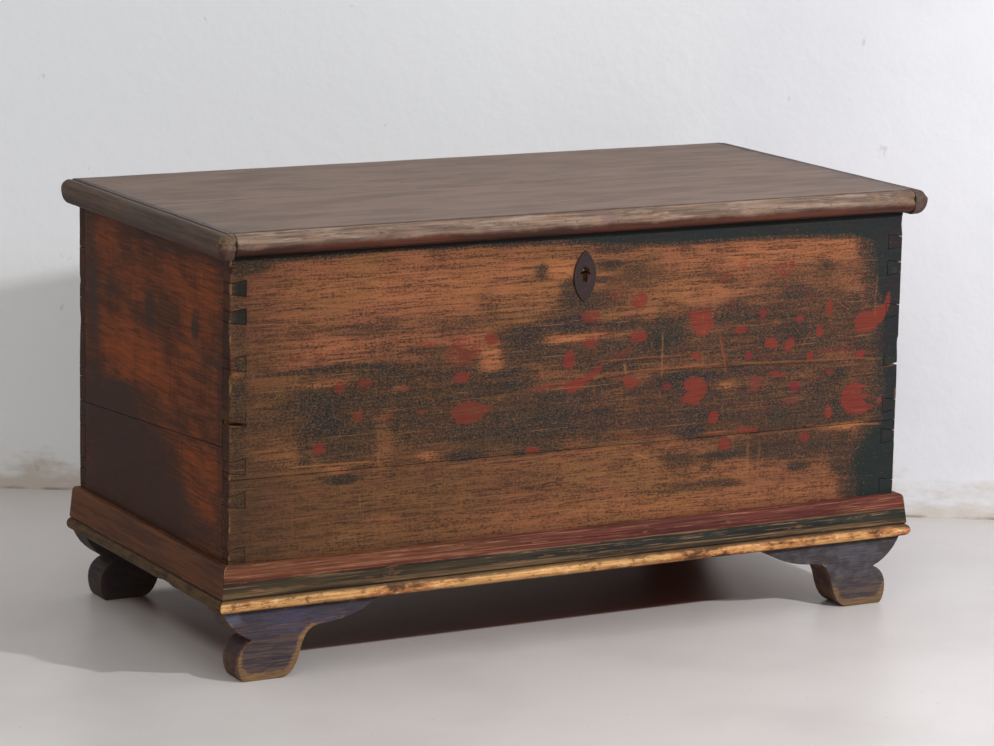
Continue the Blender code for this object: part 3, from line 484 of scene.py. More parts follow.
# Scratches and stems: x and z of both ends, half width, how much, how red
LINES = measured("mmmmm%%", (
    (30, 397, 250, 396, 1.3, 62, 45), (250, 396, 535, 384, 1.3, 58, 50),
    (30, 416.5, 190, 415.5, 1.1, 65, 60), (140, 378, 139, 458, 1.2, 55, 0),
    (238, 446, 253, 376, 1.6, 75, 75), (295, 200, 294, 282, 2.6, 30, 10), (515, 440, 516, 523, 1.8, 22, 10),
    (314, 205, 315, 275, 2, 25, 10), (-475, 302, -330, 299, 1, 75, 10), (400, 287, 540, 281, 1.4, 66, 15),
    (92, 273, 122, 262, 1.3, 80, 0), (-120, 283, 60, 282, 0.9, 45, 20), (365, 449, 379, 432, 1, 32, 35),
    (392, 470, 402, 438, 1, 30, 35), (402, 438, 380, 405, 1, 30, 35), (331, 453, 346, 449, 1, 60, 50),
    (240, 452, 345, 450.5, 0.9, 55, 50), (77, 392, 76, 412, 2, 60, 10), (250, 247, 300, 245.5, 1.2, 60, 20),
    (200, 293, 260, 292, 1, 45, 10), (522, 300, 530, 326, 1.4, 30, 40), (70, 300, 155, 295.5, 1, 75, 85),
))


def patched(x, z, patches):
    """How much at each place, from soft patches that lie over each other."""
    left = np.ones(len(x))
    for middle_x, middle_z, half_x, half_z, much in patches:
        away = ((x - middle_x) / half_x) ** 2 + ((z - middle_z) / half_z) ** 2
        left *= 1 - much * np.exp(-0.7 * away ** 1.5)
    return 1 - left


def from_outline(x, z, corners):
    """Signed distance to a closed outline: below 0 inside it."""
    nearest = np.full(len(x), 1.0)
    inside = np.zeros(len(x), bool)
    for (ax, az), (bx, bz) in zip(corners, corners[1:] + corners[:1]):
        along_x, along_z = bx - ax, bz - az
        share = np.clip(((x - ax) * along_x + (z - az) * along_z) / (along_x ** 2 + along_z ** 2), 0, 1)
        nearest = np.minimum(nearest, np.hypot(x - ax - share * along_x, z - az - share * along_z))
        if az != bz:
            crosses = ((az > z) != (bz > z)) & (x < ax + along_x * (z - az) / along_z)
            inside ^= crosses
    return np.where(inside, -nearest, nearest)


def front_measures(points, pins):
    """Dark paint left, bare wood, and the ornament: its distance, how much is left and its red."""
    x, z = points[:, 0], points[:, 2]
    on_front = points[:, 1] < FRONT_Y + 0.004
    bare = patched(x, z, BARE_PATCHES)
    spread = SPREAD - LOW_SPREAD * ramp_up(-z, -0.3, -0.26) * ramp_up(-x, -0.5, -0.43)
    cover = spread + (1 - spread) * patched(x, z, DARK_PATCHES)
    cover = cover * (1 - 0.8 * bare)
    border = np.interp(x, *zip(*BORDER_EDGE))
    top = ramp_up(z, border - 0.016, border + 0.004)
    edge = np.interp(z, *zip(*RIGHT_EDGE))
    side = ramp_up(x, edge - 0.075, edge + 0.016)
    cover = np.maximum(np.maximum(cover, 1.15 * top), 1.1 * side)
    if pins:
        faint = np.interp(z, (0.455, 0.5), (0.5, 1.3))
        faint = faint * (0.35 + 0.65 * ramp_up(x, LEFT_X + 0.001, LEFT_X + 0.012))
        cover = np.where(x < 0, np.maximum(cover, faint), cover)
    shapes = [(from_outline(x, z, corners), left, red) for corners, left, red in BLOSSOMS]
    for cx, cz, half_x, half_z, turn, left, red in PETALS:
        c, s = cos(radians(turn)), sin(radians(turn))
        u = ((x - cx) * c + (z - cz) * s) / half_x
        v = ((z - cz) * c - (x - cx) * s) / half_z
        shapes.append(((np.hypot(u, v) - 1) * min(half_x, half_z), left, red))
    motif, kept, crimson = np.full(len(x), 0.02), np.zeros(len(x)), np.zeros(len(x))
    for distance, left, red in shapes:
        nearer = distance < motif
        kept = np.where(nearer, left, kept)
        crimson = np.where(nearer, red, crimson)
        motif = np.minimum(motif, distance)
    return {"cover": np.where(on_front, cover, 0.0), "bare": np.where(on_front, bare, 0.0), "motif": motif,
            "kept": kept, "crimson": crimson}


# Dark grime on the left end: y, z, half width, half height, how much
SIDE_PATCHES = measured("mmmm%", (
    (12, 487, 24, 36, 90), (-145, 490, 14, 26, 80), (-85, 500, 8, 20, 60), (-190, 450, 40, 14, 55),
    (90, 260, 180, 85, 95), (180, 300, 100, 50, 85), (-60, 210, 100, 50, 75), (100, 190, 200, 40, 85),
    (225, 400, 30, 120, 55), (100, 345, 70, 18, 60), (-100, 340, 60, 14, 45), (0, 590, 300, 14, 55),
    (-170, 420, 60, 10, 45), (130, 540, 60, 20, 35), (-200, 200, 60, 30, 50), (235, 520, 24, 90, 65),
    (150, 500, 50, 22, 50), (-60, 440, 60, 12, 45), (-232, 400, 12, 200, 60), (100, 440, 70, 8, 40),
))
SIDE_BRIGHT = measured("mmmm%", (
    (60, 405, 120, 32, 90), (-140, 535, 90, 45, 60), (190, 570, 50, 30, 60), (-150, 245, 45, 40, 70),
    (60, 530, 110, 30, 50), (-160, 290, 70, 30, 40), (60, 450, 200, 12, 40),
))


def side_measures(points):
    y, z = points[:, 1], points[:, 2]
    on_side = np.abs(points[:, 0]) > RIGHT_X - 0.004
    return {"grime": np.where(on_side, patched(y, z, SIDE_PATCHES), 0.0),
            "bright": np.where(on_side, patched(y, z, SIDE_BRIGHT), 0.0)}


# Finishes

PINE = (176, 134, 92), (118, 80, 52)
GROOVE_TOP = LID_HIGH.z - 0.004, LID_HIGH.z - 0.002


def pine_colour(f, axis, pale, dark, spacing=0.007, centre=(0.05, -0.12)):
    """Bare pine: rings, fine lines and slow changes of tone. Gives the colour and the height."""
    rings = f.rings(axis, spacing, centre=centre)
    lines = f.along(axis, 14, 520, 4, 0.65)
    tone = f.along(axis, 2, 9, 3, 0.55)
    share = f.math("ADD", f.times(rings, 0.55), f.centred(lines, 0.55), clamp=True)
    colour = f.lay(f.mix(share, tint(*pale), tint(*dark)), ((tone, 0.45, 0.7), 0.3))
    return colour, f.weighed((rings, 0.35), (lines, 0.65))


def front_paint(f):
    """Worn dark paint over pine, with red ornament, and a painted shadow under the lid along the top. Gives
    colour, height and roughness.
    """
    cover = f.measure("cover")
    bare = f.measure("bare")
    fine = f.noise(26, 60, 520, 3, 0.62)
    flecks = f.noise(230, 120, 400, 3, 0.62)
    lines = f.noise(9, 60, 170, 3, 0.6)
    streaks = f.noise(4, 60, 60, 3, 0.6)
    patches = f.noise(20, 30, 40, 5, 0.66)
    upright = f.noise(330, 60, 22, 3, 0.6)
    hue = f.noise(6, 9, 10)
    low = f.times((f.z, 0.48, 0.24), f.blend((f.x, -0.3, 0.05), 1.0, 0.35))
    pale = f.mix(low, tint(141, 88, 62), tint(104, 72, 48))
    pale = f.lay(pale,
        ((hue, 0.46, 0.62), 0.6, 124, 88, 52), ((patches, 0.5, 0.66), 0.45, 112, 66, 48),
        (bare, 0.8, 170, 108, 68))
    dark = f.mix(low, tint(86, 54, 40), tint(66, 46, 34))
    rings = f.rings(0, 0.0085, centre=(-0.33, 0.43))
    grain = f.vary(f.add(0.26, f.times(rings, 0.14)), (fine, 1.1), (lines, 0.6), (flecks, 0.9))
    wood = f.mix((grain, -0.1, 1.0), pale, dark)
    cracks = f.step(f.noise(11, 60, 420, 3, 0.66), 0.6, 0.68)
    grip = f.vary(cover, (streaks, 0.28), (lines, 0.34), (fine, 0.62), (patches, 0.36), (upright, 0.36),
                  (flecks, 1.35))
    painted = f.step(grip, 0.38, 0.62)
    teal = f.tones(hue, 0.42, 0.6, (33, 40, 37), (42, 35, 39))
    teal = f.mix((f.x, -0.05, -0.3), teal, tint(42, 36, 30))
    teal = f.lay(teal, ((patches, 0.4, 0.6), 0.6, 33, 38, 42))
    teal = f.lay(teal, ((fine, 0.5, 0.7), 0.25, 70, 58, 46))
    half = f.times((f.vary(cover, (patches, 0.4)), 0.15, 0.6), 0.74)
    chips = f.times((flecks, 0.4, 0.3), 0.75)
    aside = f.step(f.vary(f.x, (patches, 0.06)), -0.43, -0.545)
    wood = f.lay(wood,
        (cracks, 0.5, 54, 38, 30), ((upright, 0.4, 0.28), 0.3, 158, 108, 66),
        (half, f.blend(chips, 1.0, 0.25), 56, 43, 34), (aside, 0.42, 54, 43, 32))
    faint = f.step(cover, 0.52, 0.28)
    teal = f.lay(teal, (faint, 0.8, 72, 48, 37), ((cover, 1.2, 1.35), 0.4))
    thin = f.times((lines, 0.58, 0.42), (cover, 0.9, 0.6))
    held = f.times(f.blend(thin, 1.0, 0.66), f.blend((cover, 0.95, 0.55), 1.0, 0.88))
    colour = f.mix(f.times(painted, held), wood, teal)
    grit = f.noise(480, 150, 780, 2, 0.62)
    flaked = f.times((cover, 0.2, 0.42), (cover, 1.02, 0.9))
    flaking = f.times(flaked, f.blend((patches, 0.42, 0.58), 0.3, 0.5))
    wash = f.noise(300, 150, 380, 2, 0.6)
    reddened = f.times((wash, 0.56, 0.66), f.times((cover, 0.3, 0.55), (f.x, -0.1, 0.1)))
    greened = f.times((wash, 0.42, 0.32), (cover, 0.2, 0.45))
    colour = f.lay(colour,
        ((grit, 0.53, 0.63), flaking, 128, 96, 66), (f.times((grit, 0.46, 0.36), flaked), 0.34),
        (reddened, f.blend((cover, 1.0, 0.8), 0.0, 0.45), 104, 42, 40), (greened, 0.3, 60, 66, 44))
    motif = f.vary(f.measure("motif"), (flecks, 0.007), (patches, 0.006), (lines, 0.0024))
    inside = f.step(motif, 0.0012, -0.0012)
    whole = f.step(f.vary(f.measure("kept"), (fine, 0.45), (flecks, 0.8), (upright, 0.25)), 0.34, 0.72)
    reds = f.mix(f.measure("crimson"), tint(120, 52, 40), tint(114, 41, 46))
    reds = f.lay(reds, ((fine, 0.46, 0.68), 0.25))
    red = f.times(inside, whole, 0.9)
    colour = f.mix(red, colour, reds)
    colour = drawn_lines(f, colour, patches, flecks)
    scratch = f.step(f.noise(9, 40, 560, 3, 0.5), 0.65, 0.72)
    scratch = f.times(scratch, (cover, 1.0, 0.8))
    # Painted shadow: the top few millimetres of the front are darkened nearly to black, where the lid's
    # overhang shades them.
    painted_lid_shadow = f.step(f.vary(f.z, (lines, 0.002)), RIM_Z - 0.008, RIM_Z - 0.0035)
    colour = f.lay(colour, (scratch, 0.5, 150, 106, 70), (painted_lid_shadow, 0.75, 20, 15, 14))
    height = f.weighed((fine, 0.6), (painted, 0.35), (red, 0.3), (flecks, 0.25))
    roughness = f.blend(painted, 0.7, 0.55)
    return colour, height, roughness


def drawn_lines(f, colour, bend, breaks):
    """Lays long scratches and the ornament's thin stems over a colour."""
    moved = f.new("CombineXYZ", {0: f.vary(f.x, (bend, 0.004)), 2: f.vary(f.z, (bend, 0.003))})
    whole = f.step(breaks, 0.36, 0.54)
    for ax, az, bx, bz, half, much, red in LINES:
        length = ((bx - ax) ** 2 + (bz - az) ** 2) ** 0.5
        lie = f.new("Mapping", {
            "Vector": moved.outputs[0], "Location": ((ax + bx) / 2, 0.0, (az + bz) / 2),
            "Rotation": (0.0, -atan2(bz - az, bx - ax), 0.0)}, vector_type="TEXTURE")
        long, _, wide = f.split(lie.outputs[0])
        across = f.step(f.size(wide), half * 1.5, half * 0.4)
        along = f.step(f.size(long), length / 2, length / 2 - min(0.02, length / 5))
        line = tuple(a + (b - a) * red for a, b in zip(tint(160, 106, 64), tint(118, 52, 38)))
        colour = f.mix(f.times(across, along, f.times(whole, much)), colour, line)
    return colour


def side_paint(f):
    """Red-brown paint on the ends, darkened by grime, with a dark band of end grain at each edge."""
    lean = (radians(-7), 0.0, 0.0)
    along = f.noise(60, 8, 120, 4, 0.62, turn=lean)
    fine = f.noise(90, 22, 460, 3, 0.66, turn=lean)
    cloud = f.noise(14, 12, 20, 4, 0.6)
    upright = f.noise(90, 240, 14, 3, 0.6)
    bright = f.measure("bright")
    rings = f.rings(1, 0.01, wander=0.012, centre=(-0.62, 0.2))
    warm = f.step(f.vary(f.add(cloud, f.times(bright, 0.35)), (along, 0.3)), 0.4, 0.88)
    base = f.mix(warm, tint(84, 49, 32), tint(140, 70, 34))
    base = f.lay(base,
        (rings, f.blend((cloud, 0.42, 0.6), 0.1, 0.3), 64, 38, 27),
        ((rings, 0.32, 0.06), f.blend((cloud, 0.46, 0.58), 0.0, 0.16), 146, 82, 46),
        ((along, 0.48, 0.66), 0.34), ((fine, 0.46, 0.66), 0.42), ((upright, 0.54, 0.66), 0.26),
        ((fine, 0.42, 0.3), 0.3, 152, 86, 45))
    grime = f.step(f.vary(f.measure("grime"), (along, 0.4), (cloud, 0.35), (fine, 0.3)), 0.26, 0.85)
    dirt = f.tones(cloud, 0.4, 0.62, (56, 35, 26), (47, 30, 26))
    colour = f.mix(f.times(grime, 0.88), base, dirt)
    ends = f.most((f.y, FRONT_Y + 0.0235, FRONT_Y + 0.0222), (f.y, BACK_Y - 0.0235, BACK_Y - 0.0222))
    pores = f.noise(160, 420, 160, 2)
    band = f.tones(pores, 0.4, 0.65, (42, 29, 23), (58, 38, 30))
    band = f.lay(band, ((cloud, 0.52, 0.62), 0.4, 76, 48, 34))
    colour = f.mix(f.times(ends, 0.8), colour, band)
    flecks = f.step(f.noise(70, 30, 420, 2), 0.7, 0.76)
    chips = f.times((f.noise(60, 130, 300, 3, 0.7, turn=lean), 0.6, 0.66), (f.z, 0.36, 0.3))
    colour = f.lay(colour,
        (flecks, f.blend(grime, 0.4, 0.06), 168, 112, 78), (chips, f.blend(grime, 0.55, 0.04), 150, 84, 46))
    height = f.weighed((along, 0.4), (fine, 0.6))
    return colour, height, f.blend(grime, 0.6, 0.5)


def case_finish():
    """One finish for the case's boards: painted outside, bare pine inside and at the back."""
    f = Finish("case_boards")
    front_colour, front_height, front_roughness = front_paint(f)
    side_colour, side_height, side_roughness = side_paint(f)
    bare_colour, bare_height = pine_colour(f, 0, *PINE)
    dust = f.noise(5, 6, 7)
    outside_back = f.step(f.y, BACK_Y - 0.004, BACK_Y - 0.002)
    bare_colour = f.lay(bare_colour, ((dust, 0.48, 0.66), 0.25), (outside_back, 0.38))
    on_front = f.step(f.y, FRONT_Y + 0.005, FRONT_Y + 0.0022)
    on_side = f.step(f.size(f.x), RIGHT_X - 0.0042, RIGHT_X - 0.0022)
    on_side = f.times(on_side, (f.y, FRONT_Y + 0.001, FRONT_Y + 0.0026))
    colour = f.mix(on_front, bare_colour, front_colour)
    colour = f.mix(on_side, colour, side_colour)
    height = f.blend(on_side, f.blend(on_front, bare_height, front_height), side_height)
    roughness = f.blend(on_side, f.blend(on_front, 0.74, front_roughness), side_roughness)
    edge = f.measure("edge")
    rub = f.noise(90, 90, 40, 3, 0.6)
    outer = f.most(on_front, on_side)
    corner = f.times((f.x, LEFT_X + 0.0038, LEFT_X + 0.0018), (f.y, FRONT_Y + 0.005, FRONT_Y + 0.0025))
    nicks = f.times((f.x, RIGHT_X - 0.005, RIGHT_X - 0.002), (rub, 0.6, 0.66))
    nicks = f.times(nicks, (f.y, FRONT_Y + 0.005, FRONT_Y + 0.0025))
    worn = f.most(f.times(corner, (rub, 0.5, 0.62)), f.times(nicks, 0.6))
    seam = f.times((edge, 0.0014, 0.0002), f.times(outer, f.blend((f.x, 0.3, 0.4), 1.0, 0.0)))
    colour = f.lay(colour, (f.times(worn, outer), 0.65, 160, 120, 84), (seam, 0.3, 38, 28, 25))
    return f.finish(colour, roughness, height, 0.0005, shine=0.09)


def bare_finish():
    f = Finish("bare_pine_boards", 3.0)
    colour, height = pine_colour(f, 0, *PINE)
    worn = f.step(f.noise(7, 7, 7), 0.45, 0.65)
    return f.finish(f.darker(colour, worn, 0.3), 0.76, height, 0.0004)


def till_finish():
    f = Finish("till_boards", 5.0)
    colour, height = pine_colour(f, 1, (182, 140, 98), (126, 88, 58), 0.006)
    return f.finish(colour, 0.74, height, 0.0004)


def lid_tones(f, axis):
    """Noises of a lid board, with its grain along an axis: fine lines, streaks and clouds."""
    return f.along(axis, 12, 420, 4, 0.68), f.along(axis, 5, 110, 4, 0.62), f.along(axis, 7, 26, 4, 0.6)


def lid_top(f, fine, streaks, cloud):
    rings = f.times(f.rings(0, 0.0075, wander=0.01, centre=(0.1, 0.52)), 0.5)
    return f.lay(f.tones(cloud, 0.38, 0.66, (131, 110, 98), (113, 95, 85)),
        ((streaks, 0.48, 0.68), 0.13), (rings, 0.14), ((fine, 0.5, 0.68), 0.24),
        ((fine, 0.4, 0.28), 0.35, 156, 136, 122), ((f.noise(70, 130, 70, 2), 0.7, 0.76), 0.6, 78, 58, 50))


def lid_edge(f, fine, streaks, low_z):
    """The worn moulding: streaks of bare wood on its shoulder over red-brown below, with painted highlights
    on the shoulder and painted shade along its lower edge.
    """
    wear = f.noise(26, 26, 70, 4, 0.62)
    shoulder = f.tones(streaks, 0.36, 0.6, (146, 124, 108), (104, 84, 73))
    place = f.noise(17, 17, 17)
    level = f.vary(f.z, (wear, 0.006), (streaks, 0.004), (fine, 0.003))
    red = f.tones(streaks, 0.4, 0.62, (92, 50, 37), (62, 36, 29))
    red = f.lay(red, ((fine, 0.48, 0.66), 0.3))
    # Painted highlight: pale glints on the moulding's upper shoulder.
    painted_glint = f.times((f.noise(16, 40, 150, 4, 0.68), 0.55, 0.64), (f.z, low_z + 0.013, low_z + 0.02))
    specks = f.step(f.noise(160, 160, 160, 2), 0.66, 0.72)
    shoulder = f.lay(shoulder,
        ((wear, 0.52, 0.66), 0.38, 156, 120, 94), ((fine, 0.46, 0.66), 0.42),
        ((fine, 0.38, 0.26), 0.45, 172, 152, 132), ((place, 0.56, 0.64), 0.4, 112, 84, 82),
        ((place, 0.38, 0.32), 0.4, 136, 106, 70), (painted_glint, 0.36, 178, 158, 142), (specks, 0.55, 64, 46, 40))
    nose = f.mix((level, low_z + 0.0185, low_z + 0.0105), shoulder, red)
    # Painted shade: the moulding's lowest few millimetres are darkened, where the lid's edge is in shade
    # over the gap.
    return f.darker(nose, f.step(f.z, low_z + 0.006, low_z + 0.002), 0.55), wear


def lid_finish():
    """Grey-brown worn top, a moulded edge rubbed pale with red-brown under it and a painted highlight and
    painted shade on it, bare pine below.
    """
    f = Finish("lid_boards", 1.0)
    fine, streaks, cloud = lid_tones(f, 0)
    low_z = LID_LOW.z
    top = lid_top(f, fine, streaks, cloud)
    near_end = f.step(f.vary(f.size(f.x), (cloud, 0.05)), 0.52, 0.57)
    top = f.lay(top, (near_end, 0.45, 96, 90, 88))
    rim = f.step(f.y, FRONT_Y - 0.012, FRONT_Y - 0.016)
    nose, wear = lid_edge(f, fine, streaks, low_z)
    colour = f.mix(rim, top, nose)
    pine, pine_height = pine_colour(f, 0, (178, 138, 98), (122, 86, 58), 0.008, (0.02, 0.5))
    inner = f.times((f.z, low_z + 0.0016, low_z + 0.0004), (f.y, FRONT_Y - 0.004, FRONT_Y + 0.004))
    colour = f.mix(inner, colour, pine)
    groove = f.band(f.y, FRONT_Y - 0.0142, FRONT_Y - 0.0088, 0.0008)
    groove = f.times(groove, (f.z, *GROOVE_TOP))
    seam = f.times((f.measure("edge"), 0.0014, 0.0002), (wear, 0.35, 0.5))
    colour = f.lay(colour, (groove, 0.6, 58, 42, 37), (seam, 0.5, 52, 40, 36))
    height = f.weighed((fine, 0.55), (streaks, 0.25), (wear, 0.4))
    height = f.blend(inner, height, pine_height)
    return f.finish(colour, f.blend(inner, 0.56, 0.75), height, 0.0004, shine=0.16)


def strip_finish():
    """The lid's end strips: their grain runs from front to back, and their front ends are rubbed."""
    f = Finish("lid_strips", 8.0)
    fine, streaks, cloud = lid_tones(f, 1)
    reach = f.size(f.x)
    top = f.tones(cloud, 0.4, 0.64, (112, 98, 91), (96, 84, 80))
    top = f.lay(top, ((streaks, 0.48, 0.68), 0.22), ((fine, 0.5, 0.68), 0.24))
    side = f.tones(streaks, 0.38, 0.62, (99, 80, 65), (76, 61, 52))
    reddish = f.step(f.vary(f.z, (streaks, 0.012)), LID_LOW.z + 0.015, LID_LOW.z + 0.006)
    side = f.lay(side,
        ((cloud, 0.5, 0.64), 0.35, 78, 72, 68), (reddish, 0.45, 82, 52, 42), ((fine, 0.46, 0.66), 0.25),
        ((fine, 0.36, 0.26), 0.25, 128, 106, 88), ((f.z, LID_LOW.z + 0.012, LID_LOW.z + 0.002), 0.25))
    outer = f.step(reach, RIGHT_X + 0.0145, RIGHT_X + 0.0185)
    colour = f.mix(outer, top, side)
    groove = f.times(f.band(reach, RIGHT_X + 0.0088, RIGHT_X + 0.0142, 0.0008), (f.z, *GROOVE_TOP))
    colour = f.lay(colour, (groove, 0.7, 46, 36, 33))
    tip_end = f.add(f.y, f.times((f.x, -0.1, 0.1), -0.01))
    spots = f.noise(260, 260, 300, 3, 0.6)
    end = f.step(f.vary(tip_end, (spots, 0.008)), LID_LOW.y + 0.012, LID_LOW.y + 0.006)
    ochre = f.tones(spots, 0.36, 0.6, (118, 96, 70), (82, 61, 50))
    ochre = f.mix((f.z, LID_LOW.z + 0.016, LID_LOW.z + 0.008), ochre, tint(78, 54, 46))
    violet = f.tones(spots, 0.42, 0.6, (88, 68, 62), (64, 47, 44))
    tip = f.mix((f.x, -0.1, 0.1), ochre, violet)
    tip = f.lay(tip, ((fine, 0.48, 0.68), 0.25))
    colour = f.mix(f.times(end, 0.8), colour, tip)
    edge = f.step(f.measure("edge"), 0.0014, 0.0002)
    colour = f.lay(colour, (edge, 0.5, 48, 37, 34))
    height = f.weighed((fine, 0.6), (streaks, 0.4), (spots, 0.3))
    return f.finish(colour, 0.58, height, 0.0005, shine=0.14)


def plinth_finish():
    """The front moulding: red and dark stripes over an ochre bead, all scratched along the grain."""
    f = Finish("plinth_front_stripes", 2.0)
    base = PLINTH_LOW.z
    fine = f.noise(9, 200, 420, 3, 0.68)
    streaks = f.noise(5, 60, 170, 4, 0.62)
    wear = f.noise(30, 60, 90, 4, 0.62)
    slow = f.noise(4, 9, 20)
    rightward = f.step(f.vary(f.x, (slow, 0.3)), -0.4, 0.15)
    z = f.vary(f.z, (wear, 0.0012), (streaks, 0.0016))
    red = f.mix(rightward, tint(116, 68, 47), tint(103, 52, 43))
    red = f.lay(red, ((f.z, base + 0.05, base + 0.046), 0.7, 98, 42, 36))
    green = f.mix(rightward, tint(66, 54, 38), tint(44, 44, 38))
    fillet = f.tones(streaks, 0.4, 0.6, (104, 82, 56), (70, 56, 42))
    colour = f.mix((z, base + 0.0275, base + 0.029), fillet, green)
    colour = f.mix((z, base + 0.043, base + 0.045), colour, red)
    line = f.times(f.band(z, base + 0.0428, base + 0.0446, 0.0006), (streaks, 0.56, 0.48))
    upper = f.times(f.band(z, base + 0.0506, base + 0.052, 0.0005), (streaks, 0.6, 0.5))
    scratched = f.times((fine, 0.45, 0.36), (wear, 0.34, 0.54))
    worn = f.step(f.vary(wear, (fine, 0.35), (streaks, 0.3)), 0.68, 0.78)
    colour = f.lay(colour,
        (line, 0.55, 150, 112, 80), (upper, 0.45, 156, 108, 84), ((streaks, 0.47, 0.62), 0.44),
        ((fine, 0.48, 0.62), 0.42), (scratched, 0.52, 160, 118, 88), (worn, 0.45, 150, 104, 68))
    gold = f.tones(f.vary(wear, (slow, 0.5)), 0.42, 0.6, (226, 170, 108), (184, 120, 74))
    gold = f.mix((f.vary(slow, (wear, 0.6)), 0.6, 0.7), gold, tint(96, 66, 44))
    spots = f.noise(70, 90, 130, 3, 0.66)
    gold = f.lay(gold,
        ((wear, 0.38, 0.28), 0.7, 212, 176, 132), ((streaks, 0.46, 0.62), 0.36), ((fine, 0.46, 0.62), 0.34),
        ((spots, 0.56, 0.64), 0.65, 88, 60, 42), ((spots, 0.4, 0.32), 0.55, 230, 196, 152),
        ((z, base + 0.0135, base + 0.0172), 0.85, 82, 66, 48), ((f.z, base + 0.004, base + 0.001), 0.45))
    colour = f.mix((z, base + 0.02, base + 0.0185), colour, gold)
    quirk = f.band(f.z, base + 0.0188, base + 0.0215, 0.0006)
    top_edge = f.times((f.measure("edge"), 0.0024, 0.0008), (f.z, base + 0.05, base + 0.056))
    colour = f.lay(colour,
        (quirk, 0.55, 46, 34, 29), (f.times(top_edge, (wear, 0.6, 0.48)), 0.55, 170, 132, 104))
    height = f.weighed((fine, 0.6), (wear, 0.4), (worn, -0.3))
    return f.finish(colour, 0.6, height, 0.0005, shine=0.14)


def plinth_end_finish():
    """The end mouldings: red-brown with an olive bead."""
    f = Finish("plinth_ends", 9.0)
    base = PLINTH_LOW.z
    fine = f.noise(200, 10, 400, 3, 0.68)
    streaks = f.noise(60, 6, 130, 4, 0.62)
    wear = f.noise(60, 34, 70, 4, 0.62)
    slow = f.noise(9, 5, 20)
    brown = f.tones(slow, 0.38, 0.62, (100, 62, 41), (82, 52, 39))
    brown = f.lay(brown, ((streaks, 0.44, 0.34), 0.5, 124, 74, 46))
    low = f.tones(wear, 0.4, 0.62, (92, 69, 45), (68, 50, 37))
    colour = f.mix((f.z, base + 0.0212, base + 0.0195), brown, low)
    scratched = f.times((fine, 0.38, 0.28), (wear, 0.44, 0.6))
    quirk = f.band(f.z, base + 0.0188, base + 0.0215, 0.0006)
    edge = f.times((f.measure("edge"), 0.0024, 0.0008), (wear, 0.48, 0.6))
    colour = f.lay(colour,
        ((streaks, 0.5, 0.68), 0.3), ((fine, 0.48, 0.66), 0.3), (scratched, 0.45, 146, 104, 74),
        (quirk, 0.75, 40, 30, 26), (edge, 0.4, 132, 98, 68))
    height = f.weighed((fine, 0.6), (wear, 0.4))
    return f.finish(colour, 0.58, height, 0.0005, shine=0.1)


def foot_finish():
    """Blue-violet paint, scratched through to brown lower down and to ochre round the sawn edges, with
    painted shade under the plinth and on the back feet.
    """
    f = Finish("foot_paint", 4.0)
    fine = f.noise(26, 200, 560, 3, 0.68)
    lines = f.noise(18, 60, 280, 3, 0.62)
    wear = f.noise(40, 40, 60, 4, 0.64)
    slow = f.noise(12, 12, 16)
    rightward = f.step(f.x, -0.2, 0.2)
    blue = f.tones(slow, 0.4, 0.62, (75, 70, 90), (68, 62, 71))
    slate = f.tones(wear, 0.4, 0.62, (78, 76, 82), (64, 59, 61))
    blue = f.mix(rightward, blue, slate)
    faded = f.times((f.vary(f.x, (wear, 0.02)), -0.536, -0.556), (f.z, 0.078, 0.092))
    blue = f.lay(blue, (faded, 0.7, 96, 102, 122))
    low = f.step(f.add(f.vary(f.z, (wear, 0.04), (lines, 0.03)), f.times(rightward, 0.035)), 0.088, 0.062)
    scratched = f.tones(lines, 0.4, 0.6, (92, 75, 67), (62, 53, 56))
    paint = f.mix(f.times(low, 0.85), blue, scratched)
    paint = f.lay(paint, ((fine, 0.48, 0.66), 0.32), ((fine, 0.42, 0.3), 0.42, 132, 106, 84))
    wood = f.tones(fine, 0.36, 0.66, (146, 113, 76), (106, 79, 56))
    wood = f.lay(wood, (rightward, 0.55, 104, 82, 62))
    edge = f.add(f.vary(f.measure("edge"), (wear, 0.014), (fine, 0.006)),
                 f.times((f.z, 0.06, 0.004), -0.01))
    inner = f.times((f.size(f.x), 0.47, 0.44), (f.z, 0.085, 0.05))
    edge = f.add(edge, f.times(inner, (f.x, 0.2, -0.2), -0.012))
    rubbed = f.step(edge, 0.0036, -0.003)
    on_face = f.measure("on_face")
    dark = f.tones(wear, 0.42, 0.62, (70, 54, 56), (98, 73, 58))
    dark = f.lay(dark, ((fine, 0.48, 0.66), 0.3))
    colour = f.mix(on_face, dark, paint)
    colour = f.mix(f.times(rubbed, f.blend(on_face, 0.5, 0.88)), colour, wood)
    # Painted shade: the top of each foot, just under the plinth, is darkened by half.
    colour = f.lay(colour, ((f.z, 0.097, 0.104), 0.5))
    # Painted shade: the back feet, in the shade under the case, are painted a dark grey-brown.
    behind = f.step(f.y, 0.02, 0.1)
    colour = f.mix(f.times(behind, 0.85), colour, f.tones(wear, 0.42, 0.6, (46, 44, 47), (60, 50, 45)))
    height = f.weighed((fine, 0.7), (rubbed, -0.4), (wear, 0.3))
    return f.finish(colour, 0.62, height, 0.0005, shine=0.15)


def iron_finish(name, seed, dark, rust, metallic, roughness):
    """Old forged iron with rust in its low places."""
    f = Finish(name, seed)
    cloud = f.noise(60, 60, 60, 4, 0.6)
    grain = f.noise(420, 420, 420, 3, 0.6)
    rusty = f.step(f.vary(cloud, (grain, 0.25)), 0.5, 0.68)
    colour = f.mix(rusty, dark, rust)
    colour = f.lay(colour, ((grain, 0.52, 0.72), 0.3))
    height = f.weighed((cloud, 0.6), (grain, 0.4))
    return f.finish(colour, f.blend(rusty, roughness, 0.8), height, 0.0003,
                    f.blend(rusty, metallic, metallic * 0.4))


# The case

